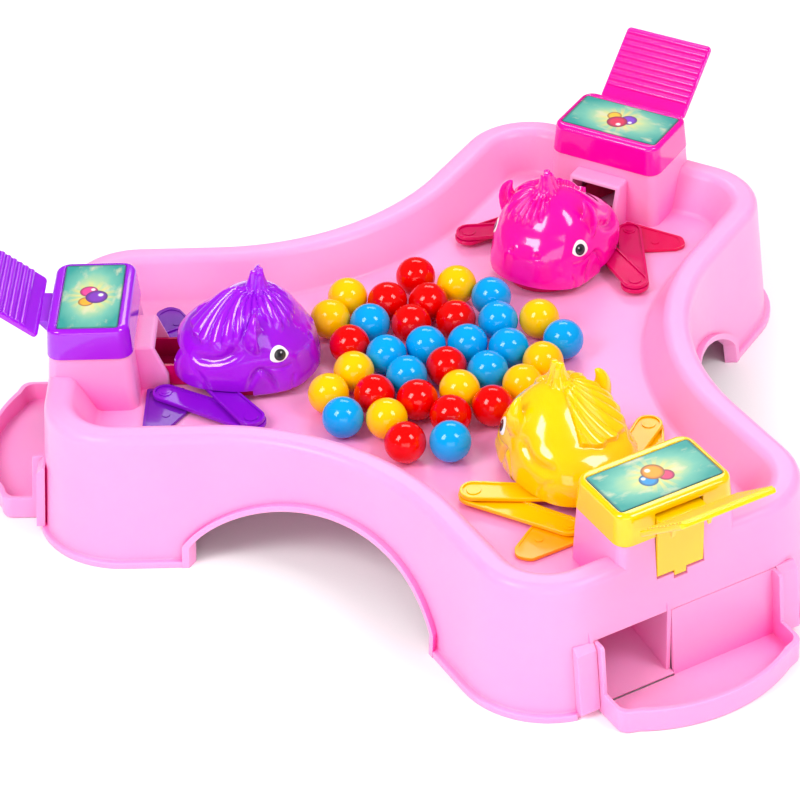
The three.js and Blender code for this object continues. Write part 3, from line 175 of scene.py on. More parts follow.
# Pedal
PIVOT_REACH = 186.0
PIVOT_RISE = 38.0
KNUCKLE_RADIUS = 4.0
PIN_RADIUS = 1.5
EAR_THICKNESS = 2.6
WEB_HALF_WIDTH = 12.2
WEB_THICKNESS = 2.4
WEB_FOOT_RISE = 8.0
WEB_TAB_HALF_WIDTH = 3.2
WEB_TAB_LENGTH = 3.0
PAD_WIDTH = 49.0
PAD_LENGTH = 42.0
PAD_THICKNESS = 2.6
PAD_SLOPE = 39.0
PAD_STAND_OFF = 2.2
PAD_CORNER_RADIUS = 2.2
PAD_RIB_COUNT = 10
PAD_RIB_PITCH = 3.4
PAD_RIB_START = 9.0
PAD_RIB_HEIGHT = 0.9
PAD_RIB_HALF_WIDTH = 1.35
PAD_RIB_MARGIN = 2.4
GUSSET_SIDES = (8.6, 10.4)
GUSSET_START = 0.5
GUSSET_RUN = 10.0
GUSSET_TOP = -0.6
GUSSET_DROP = -8.0

# Jaw, neck and tail
JAW_FRONT_REACH = 72.0
JAW_LENGTH = 56.5
JAW_WIDTH = 45.0
JAW_RISE = 4.2
JAW_LIP_RISE = 5.9
SLIDE_THICKNESS = 1.6
NECK_START_REACH = 118.0
NECK_END_REACH = 160.0
NECK_HALF_WIDTH = 12.1
NECK_WALL = 1.5
NECK_RISE = 12.0
HINGE_REACH = 128.0
HINGE_RISE = 12.5
HINGE_EAR_RADIUS = 4.0
HINGE_PEG_RADIUS = 1.6
TAIL_THICKNESS = 2.2
TAIL_RISE = 16.0
TAIL_FREE_PLAY = 1.9
SPRING_SIDE = 20.0
SPRING_RISE = 10.0
SPRING_RADIUS = 3.5
SPRING_CURLS = 6
SPRING_STEPS_PER_CURL = 28
SPRING_SIDES = 10
SPRING_WIRE = 0.5
SPRING_SEAT_MARGIN = 1.5
DEFLECTOR_SHARE = 0.4

# Legs
HIP_REACH = 118.0
HIP_SIDE = 19.0
HIP_LUG_RADIUS = 3.6
HIP_PEG_RADIUS = 1.8
KNEE_REACH = 98.0
KNEE_SIDE = 48.0
ANKLE_REACH = 141.0
ANKLE_SIDE = 23.0
SHIN_ANKLE_RADIUS = 6.2
SHIN_KNEE_RADIUS = 7.2
THIGH_KNEE_RADIUS = 6.6
THIGH_HIP_RADIUS = 5.6
PIVOT_RING_SHARE = 0.52
FOOT_BACK_REACH = 150.5
FOOT_FRONT_REACH = 129.0
FOOT_TIP_SIDE = 54.0
FOOT_BEND_REACH = 139.0
FOOT_MIDDLE_SIDE = 35.0
FOOT_RIM_SHARE = 0.14
FOOT_RECESS = 0.35
FOOT_LOW = 0.3
SHIN_LOW = 2.4
THIGH_LOW = 4.9
HIP_LUG_LOW = 7.4
FOOT_THICKNESS = 1.8
LEG_THICKNESS = 2.2
LEG_RIM = 1.3
LEG_RECESS = 0.8
LEG_PEG_RADIUS = 2.0
FOOT_PEG_REACH = (FOOT_BACK_REACH + FOOT_FRONT_REACH) / 2
FOOT_PEG_SIDE = (ANKLE_SIDE + FOOT_TIP_SIDE) / 2

# Head
SNOUT_REACH = 66.0
HEAD_LENGTH = 73.0
HEAD_WIDTH = 57.0
HEAD_HEIGHT = 48.5
HEAD_WALL = 2.2
HEAD_FOOT_RISE = 3.0
LIP_RISE = 8.0
LIP_RUN = 26.0
HEAD_SQUARENESS = 2.4
HEAD_LEAST_HALF_WIDTH = 0.2
PEG_INSET = 0.2
HEAD_SECTIONS = [
    # height, front, back and width, as shares of the head's height, length, length and width
    (0.062, 0.030, 0.970, 0.930),
    (0.090, 0.008, 0.985, 0.975),
    (0.210, 0.000, 1.000, 1.000),
    (0.340, 0.020, 0.990, 0.995),
    (0.460, 0.040, 0.950, 0.965),
    (0.560, 0.075, 0.885, 0.915),
    (0.640, 0.115, 0.800, 0.865),
    (0.720, 0.150, 0.735, 0.800),
    (0.820, 0.205, 0.655, 0.660),
    (0.900, 0.255, 0.585, 0.490),
    (0.960, 0.310, 0.515, 0.290),
    (0.987, 0.350, 0.465, 0.140),
    (1.000, 0.385, 0.425, 0.030),
]
TUFT_REACH = 95.0
TUFT_RISE = 58.6
TUFT_RIBS = 9
TUFT_LEAN = 0.6
TUFT_PARTING = 1.5
TUFT_CORE_RADII = (6.0, 4.8, 3.8, 3.1, 2.6, 2.2, 1.9, 1.6)
TUFT_RIB_RADII = (2.2, 2.1, 1.9, 1.65, 1.45, 1.25, 1.1, 0.9)
HAIR_FOOT_DROP = 2.5
HAIR_LOCK_TURN = 14.5
HAIR_SWEEP = 0.8
HAIR_SWEEP_START = 20
HAIR_POINT = 1.4
HAIR_RIDGE = 1.45
HAIR_THICKNESS = 0.25
HAIR_BACK_THICKNESS = 1.1
HAIR_EDGE = 1.6
HAIR_FRONT_FADE = 3.5
EAR_LINE = [(95.4, 18.4, 26.0), (95.0, 28.6, 38.6), (94.8, 20.0, 47.4)]
EAR_FACING = (-0.95, 0.3, 0.05)
EAR_TAPER = 0.7
EAR_HALF_WIDTH = 5.6
EAR_HALF_DEPTH = 7.4
EAR_TIP_HALF_WIDTH = 0.6
EAR_TIP_HALF_DEPTH = 0.55
EYE_PLACE = (83.2, 25.2)
EYE_SIDE = 27.0
EYE_AIM_RISE = 0.5
EYE_AIM_REACH = 8
EYE_TILT = 14
EYE_HALF_LENGTH = 4.8
EYE_HALF_HEIGHT = 5.6
EYE_LOWER_SHARE = 0.5
EYE_CORNER_POWERS = (1.5, 1.15)
EYE_EDGE_RISE = 0.1
EYE_DOME = 0.35
EYE_DEPTH = 0.9
EYE_CHART_CENTRE = (0.3, 0.7)
EYE_CHART_SIZE = 12
HEAD_GRID = 0.45
NOSTRIL_PLACE = (68.5, 7.5, 25.0)
NOSTRIL_RADIUS = 1.3
NOSTRIL_DEPTH = 1.0
NOSTRIL_RIM_REACH = 2.4
NOSTRIL_RIM_WIDTH = 1.0
NOSTRIL_RIM_HEIGHT = 0.25

# Rounded edges; on flat plates only edges sharper than PLATE_EDGE_ANGLE are rounded
FINE_EDGE = 0.3
WEB_EDGE = 0.35
LEAF_EDGE = 0.4
LINK_EDGE = 0.5
BOWL_EDGE = 0.6
PAD_EDGE = 0.8
HOOD_EDGE = 1.4
PICTURE_EDGE = 0.12
RING_EDGE = 0.2
PLATE_EDGE_ANGLE = 60

# Balls, as shares of a ball's diameter; the first seventeen are solids of the part as well
BALL_RADIUS = 10.0
BALL_RISE = 10.3
BALL_PLACES = [
    ("red", -0.99, 3.14), ("blue", 0.90, 2.16), ("yellow", -2.69, 2.28), ("yellow", 2.07, 1.14),
    ("blue", 2.63, 0.23), ("red", -2.60, 0.22), ("yellow", 1.60, -1.61), ("yellow", -3.06, -1.80),
    ("blue", -0.73, 0.09), ("red", 0.86, -2.44), ("blue", -2.69, -2.77), ("red", -1.21, -3.81),
    ("blue", -0.15, -3.81), ("red", 0.01, 1.18), ("blue", 1.29, -0.08), ("yellow", -1.65, -2.86),
    ("red", -1.09, 1.05),
]
LOOSE_BALL_PLACES = [
    ("yellow", 0.04, 2.72), ("red", -1.69, 2.05), ("red", -0.67, 1.98), ("yellow", -3.10, 1.34),
    ("blue", -2.11, 1.11), ("blue", 1.05, 1.09), ("blue", -1.69, -0.25), ("blue", 0.29, 0.13),
    ("yellow", -2.47, -0.91), ("blue", -1.19, -1.14), ("red", -0.23, -0.80), ("blue", 0.77, -1.01),
    ("yellow", 2.11, -0.69), ("red", -1.96, -1.88), ("red", -0.93, -2.13), ("yellow", 0.08, -1.78),
    ("red", -0.14, -2.78),
]


# The camera's pose


def set_camera():
    data = bpy.data.cameras.new("photo_camera")
    data.lens = CAMERA_LENS
    data.sensor_width = 36
    camera = bpy.data.objects.new("photo_camera", data)
    bpy.context.scene.collection.objects.link(camera)
    right = Vector((math.cos(CAMERA_YAW), math.sin(CAMERA_YAW), 0))
    back = Vector((
        math.sin(CAMERA_YAW) * math.cos(CAMERA_RISE),
        -math.cos(CAMERA_YAW) * math.cos(CAMERA_RISE),
        math.sin(CAMERA_RISE),
    ))
    up = back.cross(right)
    across = right * math.cos(CAMERA_ROLL) + up * math.sin(CAMERA_ROLL)
    upward = up * math.cos(CAMERA_ROLL) - right * math.sin(CAMERA_ROLL)
    camera.matrix_world = Matrix((across, upward, back)).transposed().to_4x4()
    camera.location = CAMERA_PLACE
    bpy.context.scene.camera = camera


set_camera()


# Forms that the pieces are made of


def new_form(mesh, name="form"):
    form = bpy.data.objects.new(name, mesh)
    bpy.context.scene.collection.objects.link(form)
    return form


@contextmanager
def edited(mesh):
    """The mesh's faces and edges to work on, written back to it at the end."""
    shape = bmesh.new()
    shape.from_mesh(mesh)
    yield shape
    shape.to_mesh(mesh)
    shape.free()


def solid(points, faces):
    mesh = bpy.data.meshes.new("form")
    mesh.from_pydata(points, [], faces)
    with edited(mesh) as shape:
        bmesh.ops.recalc_face_normals(shape, faces=shape.faces)
    return new_form(mesh)


def surface_tree(form):
    """The form's surface, ready to be asked for its nearest points."""
    points = [tuple(vertex.co) for vertex in form.data.vertices]
    return BVHTree.FromPolygons(points, [tuple(face.vertices) for face in form.data.polygons])


def loft(rings):
    """A closed form through rings that all have the same number of points."""
    count = len(rings[0])
    points = [point for ring in rings for point in ring]
    faces = []
    for level in range(len(rings) - 1):
        low, high = level * count, (level + 1) * count
        for i in range(count):
            j = (i + 1) % count
            faces.append((low + i, low + j, high + j, high + i))
    faces.append(tuple(range(count))[::-1])
    faces.append(tuple(range(len(points) - count, len(points))))
    return solid(points, faces)


def ring(outline, z):
    return [(x, y, z) for x, y in outline]


def prism(outline, low, high, plane="plan"):
    """The outline, in x and y, x and z ("side") or y and z ("front"), drawn out from low to high."""
    place = {
        "plan": lambda a, b, c: (a, b, c),
        "side": lambda a, b, c: (a, c, b),
        "front": lambda a, b, c: (c, a, b),
    }[plane]
    return loft([[place(a, b, depth) for a, b in outline] for depth in (low, high)])


def block(x_low, x_high, y_low, y_high, z_low, z_high):
    corners = [(x_low, y_low), (x_high, y_low), (x_high, y_high), (x_low, y_high)]
    return prism(corners, z_low, z_high)


def arc(x, y, radius, start, end, steps):
    angles = [math.radians(start + (end - start) * i / steps) for i in range(steps + 1)]
    return [(x + radius * math.cos(angle), y + radius * math.sin(angle)) for angle in angles]


def circle(x, y, radius, steps=32):
    return arc(x, y, radius, 0, 360, steps)[:-1]


def cross_rod(radius, x, z, y_low, y_high):
    return prism(circle(x, z, radius), y_low, y_high, "side")


def post(radius, x, y, z_low, z_high):
    return prism(circle(x, y, radius), z_low, z_high)


def rounded_rectangle(x_low, x_high, half_width, radius, steps=8):
    return [
        *arc(x_high - radius, half_width - radius, radius, 0, 90, steps),
        *arc(x_low + radius, half_width - radius, radius, 90, 180, steps),
        *arc(x_low + radius, radius - half_width, radius, 180, 270, steps),
        *arc(x_high - radius, radius - half_width, radius, 270, 360, steps),
    ]


def filleted(corners, steps=6, closed=True):
    """Points of a line whose corners, given as x, y and radius, are rounded."""
    points = []
    last = len(corners) - 1
    for i, (x, y, radius) in enumerate(corners):
        if radius == 0 or (not closed and i in (0, last)):
            points.append((x, y))
            continue
        corner = Vector((x, y))
        before = Vector(corners[i - 1][:2]) - corner
        after = Vector(corners[(i + 1) % len(corners)][:2]) - corner
        half = before.angle(after) / 2
        reach = min(radius / math.tan(half), before.length * 0.49, after.length * 0.49)
        before.normalize()
        after.normalize()
        centre = corner + (before + after).normalized() * (reach / math.cos(half))
        start, end = corner + before * reach - centre, corner + after * reach - centre
        first = math.atan2(start.y, start.x)
        turn = (math.atan2(end.y, end.x) - first + math.pi) % (2 * math.pi) - math.pi
        for k in range(steps + 1):
            angle = first + turn * k / steps
            out = math.cos(angle), math.sin(angle)
            points.append((centre.x + start.length * out[0], centre.y + start.length * out[1]))
    return points


def settled(form):
    """The form with its modifiers made part of its mesh."""
    depsgraph = bpy.context.evaluated_depsgraph_get()
    mesh = bpy.data.meshes.new_from_object(form.evaluated_get(depsgraph))
    form.modifiers.clear()
    form.data = mesh
    return form


def combined(form, parts, operation):
    """The form after the operation with each part; the parts are used up."""
    for part in parts:
        modifier = form.modifiers.new("combine", "BOOLEAN")
        modifier.operation = operation
        modifier.solver = "MANIFOLD"
        modifier.object = part
    settled(form)
    for part in parts:
        bpy.data.objects.remove(part)
    return form


def joined(form, *parts):
    return combined(form, parts, "UNION")


def carved(form, *parts):
    return combined(form, parts, "DIFFERENCE")


def softened(form, width, segments=2, angle=30):
    """The form with its edges rounded where faces meet at more than the angle, in degrees."""
    modifier = form.modifiers.new("soften", "BEVEL")
    modifier.width = width
    modifier.segments = segments
    modifier.limit_method = "ANGLE"
    modifier.angle_limit = math.radians(angle)
    return settled(form)


def turned(forms, degrees):
    for form in forms:
        form.data.transform(Matrix.Rotation(math.radians(degrees), 4, "Z"))
    return forms


def mirrored(outline):
    """The outline on the other side, still running the same way round."""
    return [(x, -y) for x, y in outline][::-1]


def both_sides(make):
    return [make(1), make(-1)]


def span(side, near, far):
    """From near to far on one side, as the lower and the higher value."""
    return tuple(sorted((side * near, side * far)))


def blended(share):
    """A soft step: 0 up to a share of 0 and 1 from a share of 1."""
    share = np.clip(share, 0, 1)
    return share * share * (3 - 2 * share)


# Building materials


def feed(tree, node, inputs):
    """Sets a node's inputs, each to a value or to another node's output."""
    for key, value in inputs.items():
        if isinstance(value, bpy.types.NodeSocket):
            tree.links.new(value, node.inputs[key])
        else:
            node.inputs[key].default_value = value


def add(tree, kind, inputs=(), **settings):
    node = tree.nodes.new(kind)
    for key, value in settings.items():
        setattr(node, key, value)
    feed(tree, node, dict(inputs))
    return node


def new_group(name, inputs, outputs):
    """A shader group; inputs are given as name, kind and value, outputs as name and kind."""
    tree = bpy.data.node_groups.new(name, "ShaderNodeTree")
    for label, kind, value in inputs:
        socket = tree.interface.new_socket(label, in_out="INPUT", socket_type="NodeSocket" + kind)
        if value is not None:
            socket.default_value = value
    for label, kind in outputs:
        tree.interface.new_socket(label, in_out="OUTPUT", socket_type="NodeSocket" + kind)
    return tree, tree.nodes.new("NodeGroupInput").outputs


def colour(code):
    """A colour written as six hexadecimal digits, made linear."""
    parts = [int(code[i:i + 2], 16) / 255 for i in (0, 2, 4)]
    linear = [p / 12.92 if p <= 0.04045 else ((p + 0.055) / 1.055) ** 2.4 for p in parts]
    return (*linear, 1.0)


def maths(tree, operation, first, second=0.0, third=0.0, **settings):
    inputs = {0: first, 1: second, 2: third}
    return add(tree, "ShaderNodeMath", inputs, operation=operation, **settings).outputs[0]


def vector_maths(tree, operation, first, second):
    inputs = {0: first, 1: second}
    return add(tree, "ShaderNodeVectorMath", inputs, operation=operation).outputs["Vector"]


def length(tree, vector):
    return add(tree, "ShaderNodeVectorMath", {0: vector}, operation="LENGTH").outputs["Value"]


def noise(tree, where, scale, detail, **more):
    inputs = {"Vector": where, "Scale": scale, "Detail": detail, **more}
    return add(tree, "ShaderNodeTexNoise", inputs).outputs[0]


def ranged(tree, value, start, end, low=0.0, high=1.0):
    """Low where the value is at start, high where it is at end, even between and held beyond."""
    inputs = {0: value, 1: start, 2: end, 3: low, 4: high}
    return add(tree, "ShaderNodeMapRange", inputs).outputs[0]


def mixed(tree, share, first, second):
    return add(tree, "ShaderNodeMix", {0: share, 6: first, 7: second}, data_type="RGBA").outputs[2]


def colour_ramp(tree, share, stops):
    """Colours at places from 0 to 1, given from the first place to the last."""
    ramp = add(tree, "ShaderNodeValToRGB", {0: share})
    elements = ramp.color_ramp.elements
    for element, (place, code) in zip(elements, (stops[0], stops[-1])):
        element.position, element.color = place, colour(code)
    for place, code in stops[1:-1]:
        elements.new(place).color = colour(code)
    return ramp.outputs[0]


def new_material(name, preview):
    material = bpy.data.materials.new(name)
    material.use_nodes = True
    material.diffuse_color = preview
    tree = material.node_tree
    tree.nodes.clear()
    shader = tree.nodes.new("ShaderNodeBsdfPrincipled")
    feed(tree, tree.nodes.new("ShaderNodeOutputMaterial"), {"Surface": shader.outputs[0]})
    return material, tree, shader


def bumped(tree, height, strength, distance):
    inputs = {"Strength": strength, "Distance": distance, "Height": height}
    return add(tree, "ShaderNodeBump", inputs).outputs[0]


# Plastics and steel, with pattern scales in waves per metre and bump distances in metres
CLOUD_SCALE = 16.0
FLOW_SCALE = 60.0
FLOW_STRETCH = (1.0, 0.35, 2.2)
FLOW_SHARE = 0.08
MEAN_SHARE = 0.5
RUB_SCALE = 210.0
RUB_RANGE = (0.52, 0.78)
GRAIN_SCALE = 2600.0
GRAIN_SHARE = 0.06
RIPPLE_SCALE = 130.0
MOULD_BUMP_DISTANCE = 0.00012
SEAM_RANGE = (0.012, 0.03)
SEAM_DARKNESS = 0.35
SEAM_ROUGHNESS = 0.2
SEAM_HEIGHT = 0.8
STREAK_SCALE = 420.0
STREAK_STRETCH = (1.0, 1.0, 14.0)
STREAK_BUMP_DISTANCE = 0.00005


def moulded_finish():
    """Colour clouds of a thick translucent moulding, faint flow lines, fine grain and rubbed spots."""
    tree, given = new_group(
        "Moulded finish",
        [("Vector", "Vector", None), ("Colour", "Color", None), ("Deep colour", "Color", None),
         ("Roughness", "Float", 0.2), ("Depth", "Float", 0.3), ("Marks", "Float", 0.1)],
        [("Color", "Color"), ("Roughness", "Float"), ("Height", "Float")],
    )
    where = given["Vector"]
    clouds = maths(tree, "MULTIPLY", noise(tree, where, CLOUD_SCALE, 2.0), given["Depth"])
    flow = noise(tree, vector_maths(tree, "MULTIPLY", where, FLOW_STRETCH), FLOW_SCALE, 3.0)
    lines = maths(tree, "MULTIPLY_ADD", flow, FLOW_SHARE, MEAN_SHARE)
    share = maths(tree, "ADD", clouds, lines, use_clamp=True)

    rub = ranged(tree, noise(tree, where, RUB_SCALE, 6.0, Roughness=0.7), *RUB_RANGE)
    rubbed = maths(tree, "MULTIPLY", rub, given["Marks"])
    grain = maths(tree, "MULTIPLY", noise(tree, where, GRAIN_SCALE, 1.0), GRAIN_SHARE)
    feed(tree, tree.nodes.new("NodeGroupOutput"), {
        "Color": mixed(tree, share, given["Colour"], given["Deep colour"]),
        "Roughness": maths(tree, "ADD", given["Roughness"], rubbed, use_clamp=True),
        "Height": maths(tree, "ADD", grain, noise(tree, where, RIPPLE_SCALE, 1.0)),
    })
    return tree


MOULDED_FINISH = moulded_finish()


def plastic(name, light, deep, roughness, depth=0.3, marks=0.1, bump=0.25, **values):
    material, tree, shader = new_material(name, colour(light))
    finish = add(tree, "ShaderNodeGroup", {
        "Vector": add(tree, "ShaderNodeTexCoord").outputs["Object"],
        "Colour": colour(light), "Deep colour": colour(deep),
        "Roughness": roughness, "Depth": depth, "Marks": marks,
    }, node_tree=MOULDED_FINISH).outputs
    feed(tree, shader, {
        "Base Color": finish["Color"],
        "Roughness": finish["Roughness"],
        "Normal": bumped(tree, finish["Height"], bump, MOULD_BUMP_DISTANCE),
        **values,
    })
    return material


def paint_shade_in_corners(material, code, reach, near, far):
    """Painted shade and bounce light: turns the colour towards a deeper one where the piece's own walls
    stand close.
    """
    tree = material.node_tree
    openness = add(
        tree, "ShaderNodeAmbientOcclusion", {"Distance": reach}, samples=8, only_local=True
    ).outputs["AO"]
    share = ranged(tree, openness, near, far, 1.0, 0.0)
    painted_corner_shade = mixed(tree, share, tree.nodes["Group"].outputs["Color"], colour(code))
    feed(tree, tree.nodes["Principled BSDF"], {"Base Color": painted_corner_shade})


def ball_plastic(name, light, deep):
    """Glossy ball plastic with the faint matt line where the mould's halves met."""
    material = plastic(name, light, deep, roughness=0.1, depth=0.25, marks=0.06, bump=0.12, **GLOSS)
    tree = material.node_tree
    finish = tree.nodes["Group"].outputs
    seam = add(tree, "ShaderNodeAttribute", attribute_name="seam").outputs["Fac"]
    band = ranged(tree, seam, *SEAM_RANGE, 1.0, 0.0)
    darker = maths(tree, "MULTIPLY", band, SEAM_DARKNESS)
    feed(tree, tree.nodes["Principled BSDF"], {
        "Base Color": mixed(tree, darker, finish["Color"], colour(deep)),
        "Roughness": maths(tree, "MULTIPLY_ADD", band, SEAM_ROUGHNESS, finish["Roughness"]),
    })
    lifted = maths(tree, "MULTIPLY_ADD", band, SEAM_HEIGHT, finish["Height"])
    feed(tree, tree.nodes["Bump"], {"Height": lifted})
    return material


def drawn_steel(name):
    material, tree, shader = new_material(name, colour("b8bcc2"))
    where = add(tree, "ShaderNodeTexCoord").outputs["Object"]
    streaks = noise(tree, vector_maths(tree, "MULTIPLY", where, STREAK_STRETCH), STREAK_SCALE, 4.0)
    feed(tree, shader, {
        "Base Color": mixed(tree, streaks, colour("8f949b"), colour("d6d9de")),
        "Roughness": maths(tree, "MULTIPLY_ADD", streaks, 0.25, 0.2),
        "Normal": bumped(tree, streaks, 0.3, STREAK_BUMP_DISTANCE),
        "Metallic": 1.0,
    })
    return material


# Prints, drawn in shares of the plate's length and of the eye's chart
BLACK_EDGE = (0.03, 0.01, 0.05, 1.0)
WHITE = (1.0, 1.0, 1.0, 1.0)
BALL_LIGHT_PLACE = (-0.03, 0.035, 0.0)
PRINTED_BALL_PLACES = [
    # place on the plate and radius of the second, the third and the first colour's ball
    ((-0.075, -0.03, 0.0), 0.082), ((0.085, -0.045, 0.0), 0.07), ((0.012, 0.045, 0.0), 0.1),
]
SKY_STOPS = [(0.1, "d8d488"), (0.28, "b4cc94"), (0.46, "66b4a0"), (0.66, "0e938c")]
RAY_PAIRS = 14.0
# Band at the card's edge that gets the painted shadow of the cap's recess
RECESS_SHADOW_RANGE = (0.474, 0.488)
IRIS_STOPS = [
    (0.0, "1a1a1e"), (0.1, "26262a"), (0.17, "3c3c40"),
    (0.235, "1c1c20"), (0.252, "e4e4e2"), (0.29, "f4f4f0"),
]
EYE_LIGHT_PLACE = (0.07, 0.09, 0.0)
MIDDLE = (0.5, 0.5, 0.0)


def printed_ball():
    """A ball of the picture: a disc with a dark edge and a highlight over the colour below it."""
    tree, given = new_group(
        "Printed ball",
        [("Vector", "Vector", None), ("Below", "Color", None), ("Centre", "Vector", None),
         ("Radius", "Float", 0.1), ("Colour", "Color", None)],
        [("Color", "Color")],
    )
    from_centre = vector_maths(tree, "SUBTRACT", given["Vector"], given["Centre"])
    share = maths(tree, "DIVIDE", length(tree, from_centre), given["Radius"])
    dark = mixed(tree, ranged(tree, share, 0.6, 0.98, 0.0, 0.75), given["Colour"], BLACK_EDGE)
    from_light = vector_maths(tree, "SUBTRACT", from_centre, BALL_LIGHT_PLACE)
    light_share = maths(tree, "DIVIDE", length(tree, from_light), given["Radius"])
    lit = mixed(tree, ranged(tree, light_share, 0.12, 0.3, 0.9, 0.0), dark, WHITE)
    result = mixed(tree, ranged(tree, share, 0.97, 1.03, 1.0, 0.0), given["Below"], lit)
    feed(tree, tree.nodes.new("NodeGroupOutput"), {"Color": result})
    return tree


PRINTED_BALL = printed_ball()


def sky_and_rays(tree, flat, centred, scaled):
    """The picture's ground: a pale middle, teal edges, cream clouds and a burst of rays."""
    spread = maths(tree, "MULTIPLY_ADD", noise(tree, flat, 4.0, 2.0), 0.16, length(tree, centred))
    clouds = ranged(tree, noise(tree, flat, 3.2, 4.0, Roughness=0.55), 0.52, 0.66, 0.0, 0.75)
    sky = mixed(tree, clouds, colour_ramp(tree, spread, SKY_STOPS), colour("d6cfaa"))
    parts = add(tree, "ShaderNodeSeparateXYZ", {0: scaled}).outputs
    heading = maths(tree, "ARCTAN2", parts[1], parts[0])
    wave = maths(tree, "SINE", maths(tree, "MULTIPLY", heading, RAY_PAIRS))
    fade = ranged(tree, length(tree, scaled), 0.1, 0.25, 0.7, 0.0)
    rays = maths(tree, "MULTIPLY", maths(tree, "GREATER_THAN", wave, 0.1), fade)
    return mixed(tree, rays, sky, colour("e8cc62"))


def picture_print(name, first, second, third):
    """Glossy card with three balls on a burst of rays, and a painted shadow of the cap's recess round its
    edge.
    """
    material, tree, shader = new_material(name, colour("58c9bd"))
    flat = add(tree, "ShaderNodeUVMap", uv_map="picture").outputs[0]
    centred = vector_maths(tree, "SUBTRACT", flat, MIDDLE)
    scaled = vector_maths(tree, "MULTIPLY", centred, (1.0, PICTURE_WIDTH / PICTURE_LENGTH, 1.0))
    tone = sky_and_rays(tree, flat, centred, scaled)
    for (place, radius), code in zip(PRINTED_BALL_PLACES, (second, third, first)):
        tone = add(tree, "ShaderNodeGroup", {
            "Vector": scaled, "Below": tone, "Centre": place, "Radius": radius, "Colour": colour(code),
        }, node_tree=PRINTED_BALL).outputs[0]
    sides = add(tree, "ShaderNodeSeparateXYZ", {0: centred}).outputs
    furthest = maths(tree, "MAXIMUM", *(maths(tree, "ABSOLUTE", sides[i]) for i in (0, 1)))
    # Painted shadow of the cap's recess: a dark band along the card's edge
    painted_recess_shadow = ranged(tree, furthest, *RECESS_SHADOW_RANGE, 0.0, 0.6)
    dots = noise(tree, flat, 160.0, 2.0)
    feed(tree, shader, {
        "Base Color": mixed(tree, painted_recess_shadow, tone, colour("16424e")),
        "Roughness": maths(tree, "MULTIPLY_ADD", dots, 0.12, 0.28),
        "Normal": bumped(tree, dots, 0.1, 0.00003),
    })
    return material


def eye_print(name):
    """Painted eye: white with a dark grey iris, a black pupil and a small highlight."""
    material, tree, shader = new_material(name, colour("f2f2ee"))
    flat = add(tree, "ShaderNodeUVMap", uv_map="eye").outputs[0]
    centred = vector_maths(tree, "SUBTRACT", flat, MIDDLE)
    iris = colour_ramp(tree, length(tree, centred), IRIS_STOPS)
    from_light = vector_maths(tree, "SUBTRACT", centred, EYE_LIGHT_PLACE)
    shine = ranged(tree, length(tree, from_light), 0.02, 0.05, 0.5, 0.0)
    brush = noise(tree, flat, 40.0, 2.0)
    feed(tree, shader, {
        "Base Color": mixed(tree, shine, iris, WHITE),
        "Roughness": maths(tree, "MULTIPLY_ADD", brush, 0.1, 0.1),
        "Normal": bumped(tree, brush, 0.15, 0.00004),
    })
    return material


GLOSS = {"Specular IOR Level": 0.28, "Coat Weight": 0.25, "Coat Roughness": 0.05}
CLEAR_GLOW = {
    "Specular IOR Level": 0.28, "Coat Weight": 0.9, "Coat Roughness": 0.03,
    "Subsurface Weight": 0.35, "Subsurface Radius": (0.01, 0.005, 0.009), "Subsurface Scale": 1.0,
}
PINK_GLOW = {
    "Specular IOR Level": 0.35, "Subsurface Weight": 0.35, "Subsurface Radius": (0.006, 0.0025, 0.004),
    "Subsurface Scale": 1.0,
}
PINK = plastic("pink_plastic", "ffb3da", "ff96d0", roughness=0.3, depth=0.35, marks=0.12, **PINK_GLOW)
# Painted shade and bounce light: a deeper, more saturated pink where the tray's own walls stand close
paint_shade_in_corners(PINK, "ff20b4", reach=0.035, near=0.05, far=0.6)


def station_plastics(ending, tones, roughness, values):
    """One plastic for each station, from its light and its deep colour."""
    return {
        name: plastic(f"{name}_{ending}", light, deep, roughness, **values)
        for name, (light, deep) in zip(STATIONS, tones)
    }


STATION_PLASTIC = station_plastics(
    "plastic", (("b61cf0", "9208d8"), ("ff08ae", "f8009c"), ("ffd800", "ffc200")), 0.15, CLEAR_GLOW
)
# Legs and foot leaves get darker copies of each station's colour: partly their own tone, partly painted
# shade for where they lie low under the head
LEG_SHADED_PLASTIC = station_plastics(
    "leg_shaded_plastic", (("9c14de", "7c08bc"), ("e40068", "c40054"), ("ffd000", "ffb400")), 0.16, GLOSS
)
LEAF_SHADED_PLASTIC = station_plastics(
    "leaf_shaded_plastic", (("8420c4", "64109c"), ("f00060", "cc0046"), ("ffc200", "ffa400")), 0.2, GLOSS
)
CRIMSON = plastic("crimson_plastic", "f20070", "c40052", 0.18, **GLOSS)
STEEL = drawn_steel("steel")
EYE = eye_print("eye_print")
PICTURES = {
    "purple": picture_print("purple_picture_print", "7a1cb4", "e8308c", "f2a60c"),
    "magenta": picture_print("magenta_picture_print", "d3164e", "7c34c4", "f2b81c"),
    "yellow": picture_print("yellow_picture_print", "f59a12", "1f8fd0", "d83a6e"),
}
BALL_PLASTIC = {
    "red": ball_plastic("red_ball_plastic", "fa0000", "d00000"),
    "yellow": ball_plastic("yellow_ball_plastic", "ffd200", "ffb800"),
    "blue": ball_plastic("blue_ball_plastic", "00b4f4", "0090dc"),
}


# Finishing a piece


def shade(form, angle):
    """Smooth faces, with hard edges where two faces meet at more than the angle."""
    limit = math.radians(angle)
    with edited(form.data) as shape:
        for face in shape.faces:
            face.smooth = True
        for edge in shape.edges:
            edge.smooth = len(edge.link_faces) == 2 and edge.calc_face_angle(0) < limit
    modifier = form.modifiers.new("even", "WEIGHTED_NORMAL")
    modifier.keep_sharp = True
    return settled(form)


